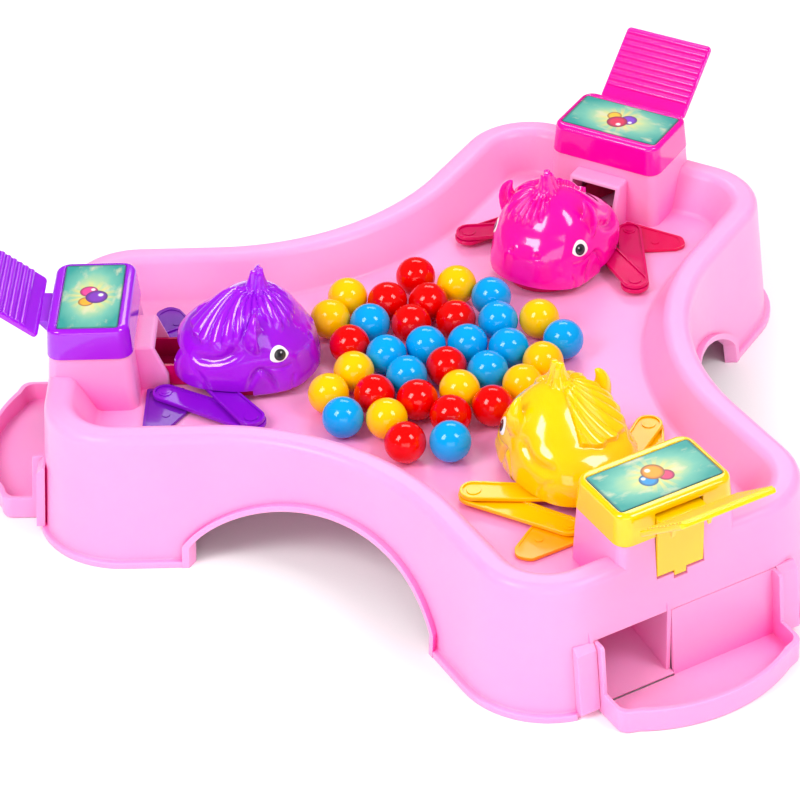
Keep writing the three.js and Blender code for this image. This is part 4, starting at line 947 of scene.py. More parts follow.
def piece(form, name, body, material, nodes=(), turn=0, angle=32):
    """Finishes a form: its place in the frame, its shading, its material and the body it rides on."""
    place = Matrix.Rotation(math.radians(turn), 4, "Z") @ Matrix.Scale(MM, 4)
    shade(form, angle)
    form.data.transform(place)
    form.data.materials.clear()
    form.data.materials.append(material)
    form.name = name
    form.data.name = name
    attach(form, body)
    if nodes:
        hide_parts(*nodes)
    return form


def twin(form):
    """A second form like the first, for one station."""
    return new_form(form.data.copy())


# Making the tray


def wall_reach(z):
    """Reach of the outer wall's face at a height above the tray floor."""
    return LOBE_REACH + DRAFT_RUN * (RIM_SHOULDER - z) / (RIM_SHOULDER + FLOOR_HEIGHT)


def tray_outline(offset, corner_steps=14, waist_steps=22):
    """The tray seen from above: three lobes and the waists between them, moved out by the offset."""
    corner_x = LOBE_REACH - LOBE_CORNER_RADIUS
    corner_y = LOBE_HALF_WIDTH - LOBE_CORNER_RADIUS
    radius = LOBE_CORNER_RADIUS + offset
    waist = WAIST_REACH + WAIST_RADIUS
    lobe = [
        *arc(corner_x, -corner_y, radius, -90, 0, corner_steps),
        *arc(corner_x, corner_y, radius, 0, 90, corner_steps),
        *arc(
            waist * math.cos(WAIST_TURN), waist * math.sin(WAIST_TURN),
            WAIST_RADIUS - offset, -90, -150, waist_steps,
        ),
    ]
    outline = []
    for third in range(3):
        turn = math.radians(STATIONS["purple"] + THIRD_TURN * third)
        cos, sin = math.cos(turn), math.sin(turn)
        outline += [(x * cos - y * sin, x * sin + y * cos) for x, y in lobe]
    return outline


def tray_shell():
    """Floor, rim, outer wall and foot lip: one section led round the tray and closed over the floor."""
    lip_top = LIP_HEIGHT - FLOOR_HEIGHT
    lip = wall_reach(lip_top) - LOBE_REACH
    section = filleted([
        (-RING_WIDTH, 0.0, 0),
        (-RIM_FOOT_INSET, 0.0, RIM_FOOT_RADIUS),
        (-RIM_TOP_INSET, RIM_RISE, RIM_TOP_RADIUS),
        (-RIM_EDGE_INSET, RIM_RISE, RIM_EDGE_RADIUS),
        (lip, lip_top, LIP_EDGE_RADIUS),
        (lip + LIP_WIDTH, lip_top, LIP_EDGE_RADIUS),
        (lip + LIP_WIDTH, -FLOOR_HEIGHT, 0),
        (DRAFT_RUN - WALL, -FLOOR_HEIGHT, 0),
        (-UNDER_EDGE_INSET, RIM_RISE - WALL, UNDER_EDGE_RADIUS),
        (-UNDER_TOP_INSET, RIM_RISE - WALL, UNDER_TOP_RADIUS),
        (-UNDER_FOOT_INSET, -FLOOR_THICKNESS, UNDER_FOOT_RADIUS),
        (-RING_WIDTH, -FLOOR_THICKNESS, 0),
    ], closed=False)
    return loft([ring(tray_outline(offset), z) for offset, z in section])


def arch_outline(grow):
    """The arch of the outer wall between two lobes: an elliptical top on short upright sides."""
    half_width, height = ARCH_HALF_WIDTH + grow, ARCH_HEIGHT + grow
    first = math.asin(ARCH_STEP_HEIGHT / ARCH_HEIGHT)
    steps = 40
    angles = [first + (math.pi - 2 * first) * i / steps for i in range(steps + 1)]
    points = [(half_width * math.cos(a), height * math.sin(a) - FLOOR_HEIGHT) for a in angles]
    foot = -FLOOR_HEIGHT - OVERRUN
    return [(points[0][0], foot), *points, (points[-1][0], foot)]


def arch_tunnel(grow):
    return prism(arch_outline(grow), WAIST_REACH / 2, LOBE_REACH, "front")


def arch_edge():
    """The raised edge that follows an arch on the outer wall."""
    top = ARCH_HEIGHT + LIP_WIDTH + OVERRUN - FLOOR_HEIGHT
    run = wall_reach(top) - LOBE_REACH
    outer = loft([
        ring(tray_outline(DRAFT_RUN + LIP_WIDTH), -FLOOR_HEIGHT),
        ring(tray_outline(run + LIP_WIDTH), top),
    ])
    slant = (DRAFT_RUN - run) / (top + FLOOR_HEIGHT)
    inner = loft([
        ring(tray_outline(DRAFT_RUN - WALL / 2 + slant), -FLOOR_HEIGHT - OVERRUN),
        ring(tray_outline(run - WALL / 2 - slant), top + OVERRUN),
    ])
    band = combined(arch_tunnel(LIP_WIDTH), [outer], "INTERSECT")
    return carved(band, inner)


def tower_ring(z, inset):
    """The tower's outline at a height, drawn in by the inset."""
    spread = TOWER_SPREAD / TOWER_RISE * (TOWER_RISE - z)
    return ring(
        rounded_rectangle(
            TOWER_INNER_REACH - spread + inset,
            wall_reach(z) - inset,
            TOWER_HALF_WIDTH + spread - inset,
            TOWER_EDGE_RADIUS - inset,
        ),
        z,
    )


def neck_passage(end):
    return block(
        HOOD_REACH - OVERRUN, end, -NECK_DOOR_HALF_WIDTH, NECK_DOOR_HALF_WIDTH, 0, NECK_DOOR_RISE
    )


def hood():
    """The roof over the neck's end and the two cheeks that slope down beside the neck."""
    back = TOWER_INNER_REACH + WALL / 2
    roof_front = TOWER_INNER_REACH + WALL / 4 - HOOD_ROOF_RUN
    half_width = NECK_DOOR_HALF_WIDTH + HOOD_WALL
    foot = HOOD_FOOT_RISE - FLOOR_THICKNESS
    body = softened(prism([
        (HOOD_REACH, foot), (back, foot), (back, HOOD_TOP_RISE), (roof_front, HOOD_TOP_RISE),
        (HOOD_REACH, HOOD_CHEEK_RISE),
    ], -half_width, half_width, "side"), HOOD_EDGE, 4)
    return carved(body, neck_passage(back + OVERRUN))


def chute_walls():
    """The ramp, its lip and side walls, from the ball drop to the catch tray."""
    mouth = CHUTE_MOUTH_RISE
    front = wall_reach(mouth) - WALL - SLIDE_GAP
    top = -FLOOR_THICKNESS / 3
    start = TOWER_INNER_REACH - TOWER_SPREAD
    left, right = -WINDOW_LEFT_SIDE, -CHUTE_SIDE
    back_low = mouth + CHUTE_DROP - CHUTE_WALL
    ramp = [
        (start, mouth + CHUTE_DROP), (start, back_low), (front, mouth - CHUTE_WALL), (front, mouth),
    ]
    spout = wall_reach(-FLOOR_HEIGHT)
    spout_top = mouth - (spout - front) * CHUTE_DROP / (front - start)
    lip = [
        (front, mouth), (front - CHUTE_WALL, mouth), (front - CHUTE_WALL, mouth - CHUTE_WALL / 2),
        (spout, spout_top - CHUTE_WALL / 2), (spout, spout_top),
    ]
    side = [
        (start, back_low), (front, mouth - CHUTE_WALL),
        (front, top + (WINDOW_TOP - top) * CHUTE_SIDE_SHARE),
        (wall_reach(top) - WALL / 2, top), (start, top),
    ]
    return [
        prism(ramp, left - CHUTE_WALL, right + CHUTE_WALL, "side"),
        prism(lip, left + CATCH_WALL + SLIDE_GAP * 2, right + CHUTE_WALL, "side"),
        prism(side, left - CHUTE_WALL, left, "side"),
        prism(side, right, right + CHUTE_WALL, "side"),
        block(start, start + CHUTE_WALL, left - CHUTE_WALL, right + CHUTE_WALL, back_low, top),
    ]


def guides():
    """Raised strips on the outer wall at both sides of the window."""
    foot, top = -FLOOR_HEIGHT, WINDOW_TOP
    outline = [
        (wall_reach(foot) - WALL / 2, foot), (wall_reach(foot) + GUIDE_PROUD, foot),
        (wall_reach(top) + GUIDE_PROUD, top - GUIDE_PROUD), (wall_reach(top), top),
        (wall_reach(top) - WALL / 2, top),
    ]
    return [
        prism(outline, -WINDOW_LEFT_SIDE - GUIDE_WIDTH, -WINDOW_LEFT_SIDE, "side"),
        prism(outline, WINDOW_RIGHT_SIDE, WINDOW_RIGHT_SIDE + GUIDE_WIDTH, "side"),
    ]


def pin_ears():
    """The two ears that hold the lever's pin over the tower's outer wall."""
    outer = wall_reach(TOWER_RISE) - WALL / 2
    outline = [
        (PIVOT_REACH - KNUCKLE_RADIUS, PIVOT_RISE - KNUCKLE_RADIUS * 2),
        (wall_reach(RIM_RISE) - WALL / 2, TAIL_RISE + WALL),
        (outer, TOWER_RISE),
        (PIVOT_REACH + KNUCKLE_RADIUS, TOWER_RISE + SEAT_GAP),
        *arc(PIVOT_REACH, PIVOT_RISE, KNUCKLE_RADIUS, 0, 180, 16),
    ]
    near = WEB_HALF_WIDTH + SLIDE_GAP
    return both_sides(lambda side: prism(outline, *span(side, near, near + EAR_THICKNESS), "side"))


def station_cuts():
    """The pedal's slot, the neck's door, the pin's bore, the lip's gap and the leaf pegs' holes."""
    slot_half, tab_half = WEB_HALF_WIDTH + SLIDE_GAP, WEB_TAB_HALF_WIDTH + SLIDE_GAP
    slot_low = wall_reach(0) - WALL - OVERRUN - TOWER_EDGE_RADIUS
    slot_high = wall_reach(0) + OVERRUN
    slot_foot = WEB_FOOT_RISE - PIN_GAP * 4
    lip_reach = wall_reach(LIP_HEIGHT - FLOOR_HEIGHT)
    ears = WEB_HALF_WIDTH + SLIDE_GAP + EAR_THICKNESS + OVERRUN
    peg_radius = LEG_PEG_RADIUS + PIN_GAP
    return [
        block(slot_low, slot_high, -slot_half, slot_half, slot_foot, TOWER_RISE + OVERRUN),
        block(slot_low, slot_high, -tab_half, tab_half, slot_foot - WEB_TAB_LENGTH, TOWER_RISE),
        neck_passage(TOWER_INNER_REACH + WALL + OVERRUN),
        cross_rod(PIN_RADIUS + PIN_GAP, PIVOT_REACH, PIVOT_RISE, -ears, ears),
        block(
            lip_reach, lip_reach + LIP_WIDTH + OVERRUN, -WINDOW_LEFT_SIDE - GUIDE_WIDTH - OVERRUN,
            WINDOW_RIGHT_SIDE + GUIDE_WIDTH + OVERRUN, -FLOOR_HEIGHT - OVERRUN, LIP_HEIGHT - FLOOR_HEIGHT,
        ),
        *both_sides(lambda side: post(
            peg_radius, FOOT_PEG_REACH, side * FOOT_PEG_SIDE, -FLOOR_THICKNESS - OVERRUN, OVERRUN,
        )),
    ]


def tray_moulding():
    """The whole tray: floor and walls, then the arches and each station's tower, chute and cuts."""
    tray = tray_shell()
    drop_half = TOWER_HALF_WIDTH + TOWER_SPREAD - WALL
    for angle in STATIONS.values():
        edge, tunnel = turned([arch_edge(), arch_tunnel(0)], angle + THIRD_TURN / 2)
        joined(tray, edge)
        carved(tray, tunnel)
        tower = loft([tower_ring(-FLOOR_THICKNESS, 0), tower_ring(TOWER_RISE, 0)])
        joined(tray, *turned([tower, *guides()], angle))
        hollows = [
            loft([tower_ring(0, WALL), tower_ring(TOWER_RISE + OVERRUN, WALL)]),
            block(
                TOWER_INNER_REACH - TOWER_SPREAD + WALL, wall_reach(0) - WALL, -drop_half, -DROP_SIDE,
                -FLOOR_HEIGHT, OVERRUN,
            ),
            block(
                wall_reach(WINDOW_TOP) - WALL - OVERRUN, wall_reach(-FLOOR_HEIGHT) + LIP_WIDTH + OVERRUN,
                -WINDOW_LEFT_SIDE, WINDOW_RIGHT_SIDE, -FLOOR_HEIGHT - OVERRUN, WINDOW_TOP,
            ),
        ]
        carved(tray, *turned(hollows, angle))
        joined(tray, *turned([*chute_walls(), hood(), *pin_ears()], angle))
        carved(tray, *turned(station_cuts(), angle))
    return tray


# Making the cap and the picture

CAP_CENTRE = (TOWER_INNER_REACH + wall_reach(TOWER_RISE)) / 2
CAP_HALF_DEPTH = (wall_reach(TOWER_RISE) - TOWER_INNER_REACH) / 2


def cap_ring(z, inset, radius):
    taper = CAP_TAPER * (z - CAP_FOOT) / CAP_RISE
    depth = CAP_HALF_DEPTH + CAP_SPREAD - taper - inset
    half_width = TOWER_HALF_WIDTH + CAP_SPREAD - taper - inset
    return ring(rounded_rectangle(CAP_CENTRE - depth, CAP_CENTRE + depth, half_width, radius), z)


def recess_ring(z, grow=0.0):
    depth = PICTURE_WIDTH / 2 + SLIDE_GAP + grow
    half_width = PICTURE_LENGTH / 2 + SLIDE_GAP + grow
    radius = RECESS_CORNER_RADIUS + grow
    return ring(rounded_rectangle(CAP_CENTRE - depth, CAP_CENTRE + depth, half_width, radius), z)


def quarter(steps):
    """Places along a quarter circle, from (1, 0) to (0, 1), as shares of its radius."""
    turns = [math.radians(90 * k / steps) for k in range(steps + 1)]
    return [(1 - math.sin(turn), 1 - math.cos(turn)) for turn in turns]


def tower_cap():
    """The lid, with rounded edges, a recess for the picture and a slot for the pedal."""
    rings = [recess_ring(CAP_TOP - PICTURE_RECESS)]
    for down, out in quarter(3):
        rings.append(recess_ring(CAP_TOP - CAP_FINE_ROUND * down, CAP_FINE_ROUND * out))
    for across, down in quarter(6):
        inset = CAP_ROUND * across
        rings.append(cap_ring(CAP_TOP - CAP_ROUND * down, inset, CAP_EDGE_RADIUS - inset))
    for up, across in quarter(3):
        inset = CAP_FINE_ROUND * across
        rings.append(cap_ring(CAP_FOOT + CAP_FINE_ROUND * up, inset, CAP_EDGE_RADIUS - inset))
    inner = CAP_EDGE_RADIUS - CAP_WALL
    rings += [
        cap_ring(CAP_FOOT, CAP_WALL, inner),
        cap_ring(CAP_TOP - PICTURE_RECESS - CAP_WALL, CAP_WALL, inner),
    ]
    half_slot = WEB_HALF_WIDTH + SLIDE_GAP
    slot = block(
        CAP_CENTRE + CAP_HALF_DEPTH - CAP_WALL * 2, CAP_CENTRE + CAP_HALF_DEPTH + CAP_WALL,
        -half_slot, half_slot, CAP_FOOT - OVERRUN, PIVOT_RISE + KNUCKLE_RADIUS + SEAT_GAP,
    )
    return carved(loft(rings), slot)


def picture_plate():
    """The thin plate in the cap's recess, with a chart for its print."""
    low = CAP_TOP - PICTURE_RECESS + SEAT_GAP
    outline = rounded_rectangle(
        CAP_CENTRE - PICTURE_WIDTH / 2, CAP_CENTRE + PICTURE_WIDTH / 2,
        PICTURE_LENGTH / 2, PICTURE_CORNER_RADIUS,
    )
    plate = softened(prism(outline, low, low + PICTURE_THICKNESS), PICTURE_EDGE, 2, PLATE_EDGE_ANGLE)
    chart = plate.data.uv_layers.new(name="picture")
    for loop in plate.data.loops:
        x, y, _ = plate.data.vertices[loop.vertex_index].co
        chart.data[loop.index].uv = (y / PICTURE_LENGTH + 0.5, 0.5 - (x - CAP_CENTRE) / PICTURE_WIDTH)
    return plate


# Making the pedal

WEB_REACH = wall_reach(WEB_FOOT_RISE)


def rib_tree():
    """Rounded bars in a row along x, for the grip of the pedal's pad."""
    tree = bpy.data.node_groups.new("Grip ribs", "GeometryNodeTree")
    for label, kind in (
        ("Count", "Int"), ("Pitch", "Float"), ("Length", "Float"), ("Half width", "Float"),
        ("Flatness", "Float"), ("Material", "Material"),
    ):
        tree.interface.new_socket(label, in_out="INPUT", socket_type="NodeSocket" + kind)
    tree.interface.new_socket("Geometry", in_out="OUTPUT", socket_type="NodeSocketGeometry")
    given = tree.nodes.new("NodeGroupInput").outputs
    step = add(tree, "ShaderNodeCombineXYZ", {0: given["Pitch"]}).outputs[0]
    row = add(tree, "GeometryNodeMeshLine", {"Count": given["Count"], "Offset": step}).outputs[0]
    bar = add(tree, "GeometryNodeMeshCylinder", {
        "Vertices": 20, "Side Segments": 1, "Radius": given["Half width"], "Depth": given["Length"],
    }).outputs[0]
    quarter_turn = (math.pi / 2, 0.0, 0.0)
    lying = add(tree, "GeometryNodeTransform", {"Geometry": bar, "Rotation": quarter_turn}).outputs[0]
    squat = add(tree, "ShaderNodeCombineXYZ", {0: 1.0, 1: 1.0, 2: given["Flatness"]}).outputs[0]
    pressed = add(tree, "GeometryNodeTransform", {"Geometry": lying, "Scale": squat}).outputs[0]
    placed = add(tree, "GeometryNodeInstanceOnPoints", {"Points": row, "Instance": pressed}).outputs[0]
    real = add(tree, "GeometryNodeRealizeInstances", {0: placed}).outputs[0]
    finished = add(tree, "GeometryNodeSetMaterial", {"Geometry": real, "Material": given["Material"]})
    feed(tree, tree.nodes.new("NodeGroupOutput"), {0: finished.outputs[0]})
    return tree


RIB_TREE = rib_tree()


def grip_ribs(material):
    form = new_form(bpy.data.meshes.new("ribs"))
    modifier = form.modifiers.new("ribs", "NODES")
    modifier.node_group = RIB_TREE
    values = {
        "Count": PAD_RIB_COUNT, "Pitch": PAD_RIB_PITCH, "Length": PAD_WIDTH - PAD_RIB_MARGIN,
        "Half width": PAD_RIB_HALF_WIDTH, "Flatness": PAD_RIB_HEIGHT / PAD_RIB_HALF_WIDTH,
        "Material": material,
    }
    for item in RIB_TREE.interface.items_tree:
        if item.in_out == "INPUT":
            modifier[item.identifier] = values[item.name]
    return settled(form)


def pad_matrix():
    """From the pad's own frame, x along its length and z off its face, to the station's."""
    slope = math.radians(PAD_SLOPE)
    along = Vector((math.cos(slope), 0, math.sin(slope)))
    across = Vector((0, 1, 0))
    away = along.cross(across)
    matrix = Matrix((along, across, away)).transposed().to_4x4()
    matrix.translation = (WEB_REACH + PAD_STAND_OFF, 0, PIVOT_RISE + PAD_STAND_OFF)
    return matrix


def pedal(material):
    """Web, knuckle and ribbed pad of a lever, with the bore for its pin."""
    pad_outline = rounded_rectangle(0, PAD_LENGTH, PAD_WIDTH / 2, PAD_CORNER_RADIUS, 6)
    pad = softened(prism(pad_outline, -PAD_THICKNESS, 0), PAD_EDGE, 3, PLATE_EDGE_ANGLE)
    ribs = grip_ribs(material)
    ribs.data.transform(Matrix.Translation((PAD_RIB_START, 0, 0)))
    joined(pad, ribs)
    gusset_outline = [(GUSSET_START, GUSSET_TOP), (GUSSET_RUN, GUSSET_TOP), (GUSSET_START, GUSSET_DROP)]
    gussets = both_sides(lambda side: prism(gusset_outline, *span(side, *GUSSET_SIDES), "side"))
    for form in (pad, *gussets):
        form.data.transform(pad_matrix())
    inner = WEB_REACH - WEB_THICKNESS
    stem_low = PIVOT_RISE - KNUCKLE_RADIUS + SEAT_GAP
    web_outline = [
        (inner, WEB_FOOT_RISE), (WEB_REACH, WEB_FOOT_RISE), (WEB_REACH, stem_low),
        (WEB_REACH + PAD_STAND_OFF + WEB_THICKNESS, PIVOT_RISE + PAD_STAND_OFF),
        (inner, PIVOT_RISE + KNUCKLE_RADIUS / 2), (PIVOT_REACH, PIVOT_RISE + KNUCKLE_RADIUS / 2),
        (PIVOT_REACH, stem_low), (inner, stem_low),
    ]
    web = softened(prism(web_outline, -WEB_HALF_WIDTH, WEB_HALF_WIDTH, "side"), WEB_EDGE)
    tab = softened(block(
        inner, WEB_REACH, -WEB_TAB_HALF_WIDTH, WEB_TAB_HALF_WIDTH,
        WEB_FOOT_RISE - WEB_TAB_LENGTH, WEB_FOOT_RISE + WEB_TAB_LENGTH,
    ), WEB_EDGE)
    knuckle = cross_rod(KNUCKLE_RADIUS - PIN_GAP, PIVOT_REACH, PIVOT_RISE, -WEB_HALF_WIDTH, WEB_HALF_WIDTH)
    joined(web, tab, knuckle, pad, *gussets)
    reach = WEB_HALF_WIDTH + OVERRUN
    return carved(web, cross_rod(PIN_RADIUS + PIN_GAP, PIVOT_REACH, PIVOT_RISE, -reach, reach))


def pin():
    """The plain round pin that the lever turns on."""
    reach = WEB_HALF_WIDTH + SLIDE_GAP + EAR_THICKNESS
    return softened(cross_rod(PIN_RADIUS, PIVOT_REACH, PIVOT_RISE, -reach, reach), FINE_EDGE)


# Making the jaw, neck, tail and spring

TAIL_REACH = WEB_REACH - WEB_THICKNESS - TAIL_FREE_PLAY


def ellipse(x, x_radius, y_radius, steps=72):
    angles = [2 * math.pi * i / steps for i in range(steps)]
    return [(x + x_radius * math.cos(angle), y_radius * math.sin(angle)) for angle in angles]


def jaw_and_neck():
    """Bowl, neck channel, hinge ears, hip lugs and tail, as one sliding piece."""
    low = SLIDE_GAP
    floor_top = low + SLIDE_THICKNESS
    centre = JAW_FRONT_REACH + JAW_LENGTH / 2
    inner_neck = NECK_HALF_WIDTH - NECK_WALL
    lip_end = JAW_FRONT_REACH + JAW_LENGTH / 4
    bowl = carved(
        prism(ellipse(centre, JAW_LENGTH / 2, JAW_WIDTH / 2), low, low + JAW_LIP_RISE),
        prism([
            (lip_end, low + JAW_LIP_RISE), (centre, low + JAW_RISE), (NECK_END_REACH, low + JAW_RISE),
            (NECK_END_REACH, NECK_RISE), (lip_end, NECK_RISE),
        ], -JAW_WIDTH, JAW_WIDTH, "side"),
    )
    softened(bowl, BOWL_EDGE, 3, PLATE_EDGE_ANGLE)
    inside = ellipse(centre, JAW_LENGTH / 2 - SLIDE_THICKNESS, JAW_WIDTH / 2 - SLIDE_THICKNESS)
    carved(bowl, prism(inside, floor_top, NECK_RISE))
    neck = softened(block(
        NECK_START_REACH, NECK_END_REACH, -NECK_HALF_WIDTH, NECK_HALF_WIDTH, low, NECK_RISE
    ), FINE_EDGE)
    ear_outline = [
        (HINGE_REACH - HINGE_EAR_RADIUS * 2, NECK_RISE - NECK_WALL),
        (HINGE_REACH + HINGE_EAR_RADIUS * 2, NECK_RISE - NECK_WALL),
        *arc(HINGE_REACH, HINGE_RISE, HINGE_EAR_RADIUS, 0, 180, 20),
    ]
    hinge_ears = both_sides(
        lambda side: prism(ear_outline, *span(side, inner_neck, NECK_HALF_WIDTH), "side")
    )
    high = HIP_LUG_LOW + LEG_THICKNESS
    lugs = []
    for side in (1, -1):
        hip = HIP_REACH, side * HIP_SIDE
        lugs += [
            block(
                HIP_REACH - HIP_LUG_RADIUS, HIP_REACH + HIP_LUG_RADIUS,
                *span(side, inner_neck, HIP_SIDE), HIP_LUG_LOW, high,
            ),
            post(HIP_LUG_RADIUS, *hip, HIP_LUG_LOW, high),
            post(HIP_PEG_RADIUS, *hip, THIGH_LOW, high),
        ]
    joined(bowl, neck, *hinge_ears, *lugs)
    channel_top = HINGE_RISE + HINGE_EAR_RADIUS + OVERRUN
    channel = block(centre, NECK_END_REACH + OVERRUN, -inner_neck, inner_neck, floor_top, channel_top)
    bore = cross_rod(HINGE_PEG_RADIUS + PIN_GAP, HINGE_REACH, HINGE_RISE, -JAW_WIDTH, JAW_WIDTH)
    carved(bowl, channel, bore)
    end = TAIL_REACH - TAIL_THICKNESS / 2
    deflector_side = inner_neck * DEFLECTOR_SHARE
    deflector = prism([
        (NECK_END_REACH - NECK_WALL, inner_neck), (end, -deflector_side),
        (end, NECK_WALL * 2 - deflector_side), (NECK_END_REACH, NECK_HALF_WIDTH),
    ], low, NECK_RISE)
    tail_side = block(NECK_END_REACH - NECK_WALL, TAIL_REACH, inner_neck, NECK_HALF_WIDTH, low, NECK_RISE)
    push = softened(block(
        TAIL_REACH - TAIL_THICKNESS, TAIL_REACH,
        -inner_neck, SPRING_SIDE + SPRING_RADIUS + SPRING_SEAT_MARGIN, low, TAIL_RISE,
    ), FINE_EDGE)
    return joined(bowl, tail_side, deflector, push)


def round_ring(centre, radius, out, across, sides):
    """Points round a centre, from the direction out towards the direction across."""
    angles = [2 * math.pi * k / sides for k in range(sides)]
    return [tuple(centre + out * radius * math.cos(a) + across * radius * math.sin(a)) for a in angles]


def return_spring():
    """The coil, as one round wire swept along its helix."""
    start = TOWER_INNER_REACH + WALL + SEAT_GAP + SPRING_WIRE
    end = TAIL_REACH - TAIL_THICKNESS - SEAT_GAP - SPRING_WIRE
    steps = SPRING_CURLS * SPRING_STEPS_PER_CURL
    slope = (end - start) / (2 * math.pi * SPRING_CURLS * SPRING_RADIUS)
    rings = []
    for i in range(steps + 1):
        turn = 2 * math.pi * SPRING_CURLS * i / steps
        out = Vector((0, math.cos(turn), math.sin(turn)))
        centre = Vector((start + (end - start) * i / steps, SPRING_SIDE, SPRING_RISE)) + out * SPRING_RADIUS
        along = Vector((slope, -math.sin(turn), math.cos(turn))).normalized()
        rings.append(round_ring(centre, SPRING_WIRE, out, along.cross(out).normalized(), SPRING_SIDES))
    return loft(rings)


# Making the legs


def foot_leaf(side):
    """The leaf under an ankle: a rounded corner plate with a low rim and a peg into the tray floor."""
    inner = ANKLE_SIDE - SHIN_ANKLE_RADIUS
    outline = filleted([
        # x, y and corner radius on the left side
        (FOOT_BACK_REACH, inner, 1.5), (FOOT_BACK_REACH, 49.0, 5.0), (144.3, FOOT_TIP_SIDE, 5.0),
        (FOOT_BEND_REACH, 51.0, 4.0), (FOOT_FRONT_REACH, 35.4, 9.0),
        (FOOT_FRONT_REACH + SHIN_ANKLE_RADIUS / 2, inner, 1.5),
    ], 8)
    outline = outline if side > 0 else mirrored(outline)
    top = FOOT_LOW + FOOT_THICKNESS
    leaf = softened(prism(outline, FOOT_LOW, top), LEAF_EDGE, 2, PLATE_EDGE_ANGLE)
    shrink = 1 - FOOT_RIM_SHARE
    middle = FOOT_RIM_SHARE * FOOT_BEND_REACH, side * FOOT_RIM_SHARE * FOOT_MIDDLE_SIDE
    recess = [(x * shrink + middle[0], y * shrink + middle[1]) for x, y in outline]
    carved(leaf, prism(recess, top - FOOT_RECESS, top + OVERRUN))
    joined(leaf, post(LEG_PEG_RADIUS, FOOT_PEG_REACH, side * FOOT_PEG_SIDE, -FLOOR_THICKNESS, top))
    bore = post(LEG_PEG_RADIUS + PIN_GAP, ANKLE_REACH, side * ANKLE_SIDE, -FLOOR_THICKNESS, top + OVERRUN)
    return carved(leaf, bore)


def link_outline(start, start_radius, end, end_radius, steps=16):
    """Two round ends and the straight sides between them."""
    heading = math.degrees(math.atan2(end[1] - start[1], end[0] - start[0]))
    return [
        *arc(*start, start_radius, heading + 90, heading + 270, steps),
        *arc(*end, end_radius, heading - 90, heading + 90, steps),
    ]


def link(start, start_radius, end, end_radius, low):
    """A flat leg link: a raised rim round a shallow recess, and a ring round each pivot."""
    high = low + LEG_THICKNESS
    body = prism(link_outline(start, start_radius, end, end_radius), low, high)
    softened(body, LINK_EDGE, 3, PLATE_EDGE_ANGLE)
    recess = link_outline(start, start_radius - LEG_RIM, end, end_radius - LEG_RIM)
    carved(body, prism(recess, high - LEG_RECESS, high + OVERRUN))
    rings = []
    for place, radius in ((start, start_radius), (end, end_radius)):
        boss = post(radius * PIVOT_RING_SHARE, *place, low + LEG_THICKNESS / 2, high - LEG_RECESS / 3)
        rings.append(softened(boss, RING_EDGE, 2, PLATE_EDGE_ANGLE))
    return joined(body, *rings)


def shin(side):
    ankle, knee = (ANKLE_REACH, side * ANKLE_SIDE), (KNEE_REACH, side * KNEE_SIDE)
    top = SHIN_LOW + LEG_THICKNESS
    return joined(
        link(ankle, SHIN_ANKLE_RADIUS, knee, SHIN_KNEE_RADIUS, SHIN_LOW),
        post(LEG_PEG_RADIUS, *ankle, FOOT_LOW, top),
        post(LEG_PEG_RADIUS, *knee, SHIN_LOW, top + SEAT_GAP + LEG_THICKNESS / 2),
    )


def thigh(side):
    knee, hip = (KNEE_REACH, side * KNEE_SIDE), (HIP_REACH, side * HIP_SIDE)
    low = THIGH_LOW - OVERRUN
    return carved(
        link(knee, THIGH_KNEE_RADIUS, hip, THIGH_HIP_RADIUS, THIGH_LOW),
        post(LEG_PEG_RADIUS + PIN_GAP, *knee, low, THIGH_LOW + LEG_THICKNESS / 2 + PIN_GAP),
        post(HIP_PEG_RADIUS + PIN_GAP * 4, *hip, low, THIGH_LOW + LEG_THICKNESS + OVERRUN),
    )


# Making the catch tray


def catch_plan(inset):
    """The catch tray seen from above, with a bulging front and rounded corners."""
    left, right = CATCH_LEFT + inset, CATCH_RIGHT - inset
    back = wall_reach(-FLOOR_HEIGHT) + SLIDE_GAP
    side_reach = wall_reach(-FLOOR_HEIGHT) + CATCH_DEPTH_AT_SIDE - inset
    half_chord = (right - left) / 2 - CATCH_CORNER_RADIUS
    radius = (half_chord ** 2 + CATCH_BULGE ** 2) / (CATCH_BULGE * 2)
    turn = math.degrees(math.asin(half_chord / radius))
    middle = (left + right) / 2
    bulge = arc(side_reach + CATCH_BULGE - radius, middle, radius, -turn, turn, 28)
    corner_reach = side_reach - CATCH_CORNER_RADIUS / 3
    first, second = (
        filleted([(back, side, 0), (corner_reach, side, CATCH_CORNER_ROUND), (*end, 0)], 6, False)
        for side, end in ((left, bulge[0]), (right, bulge[-1]))
    )
    return [*first[:-1], *bulge, *second[::-1][1:]]


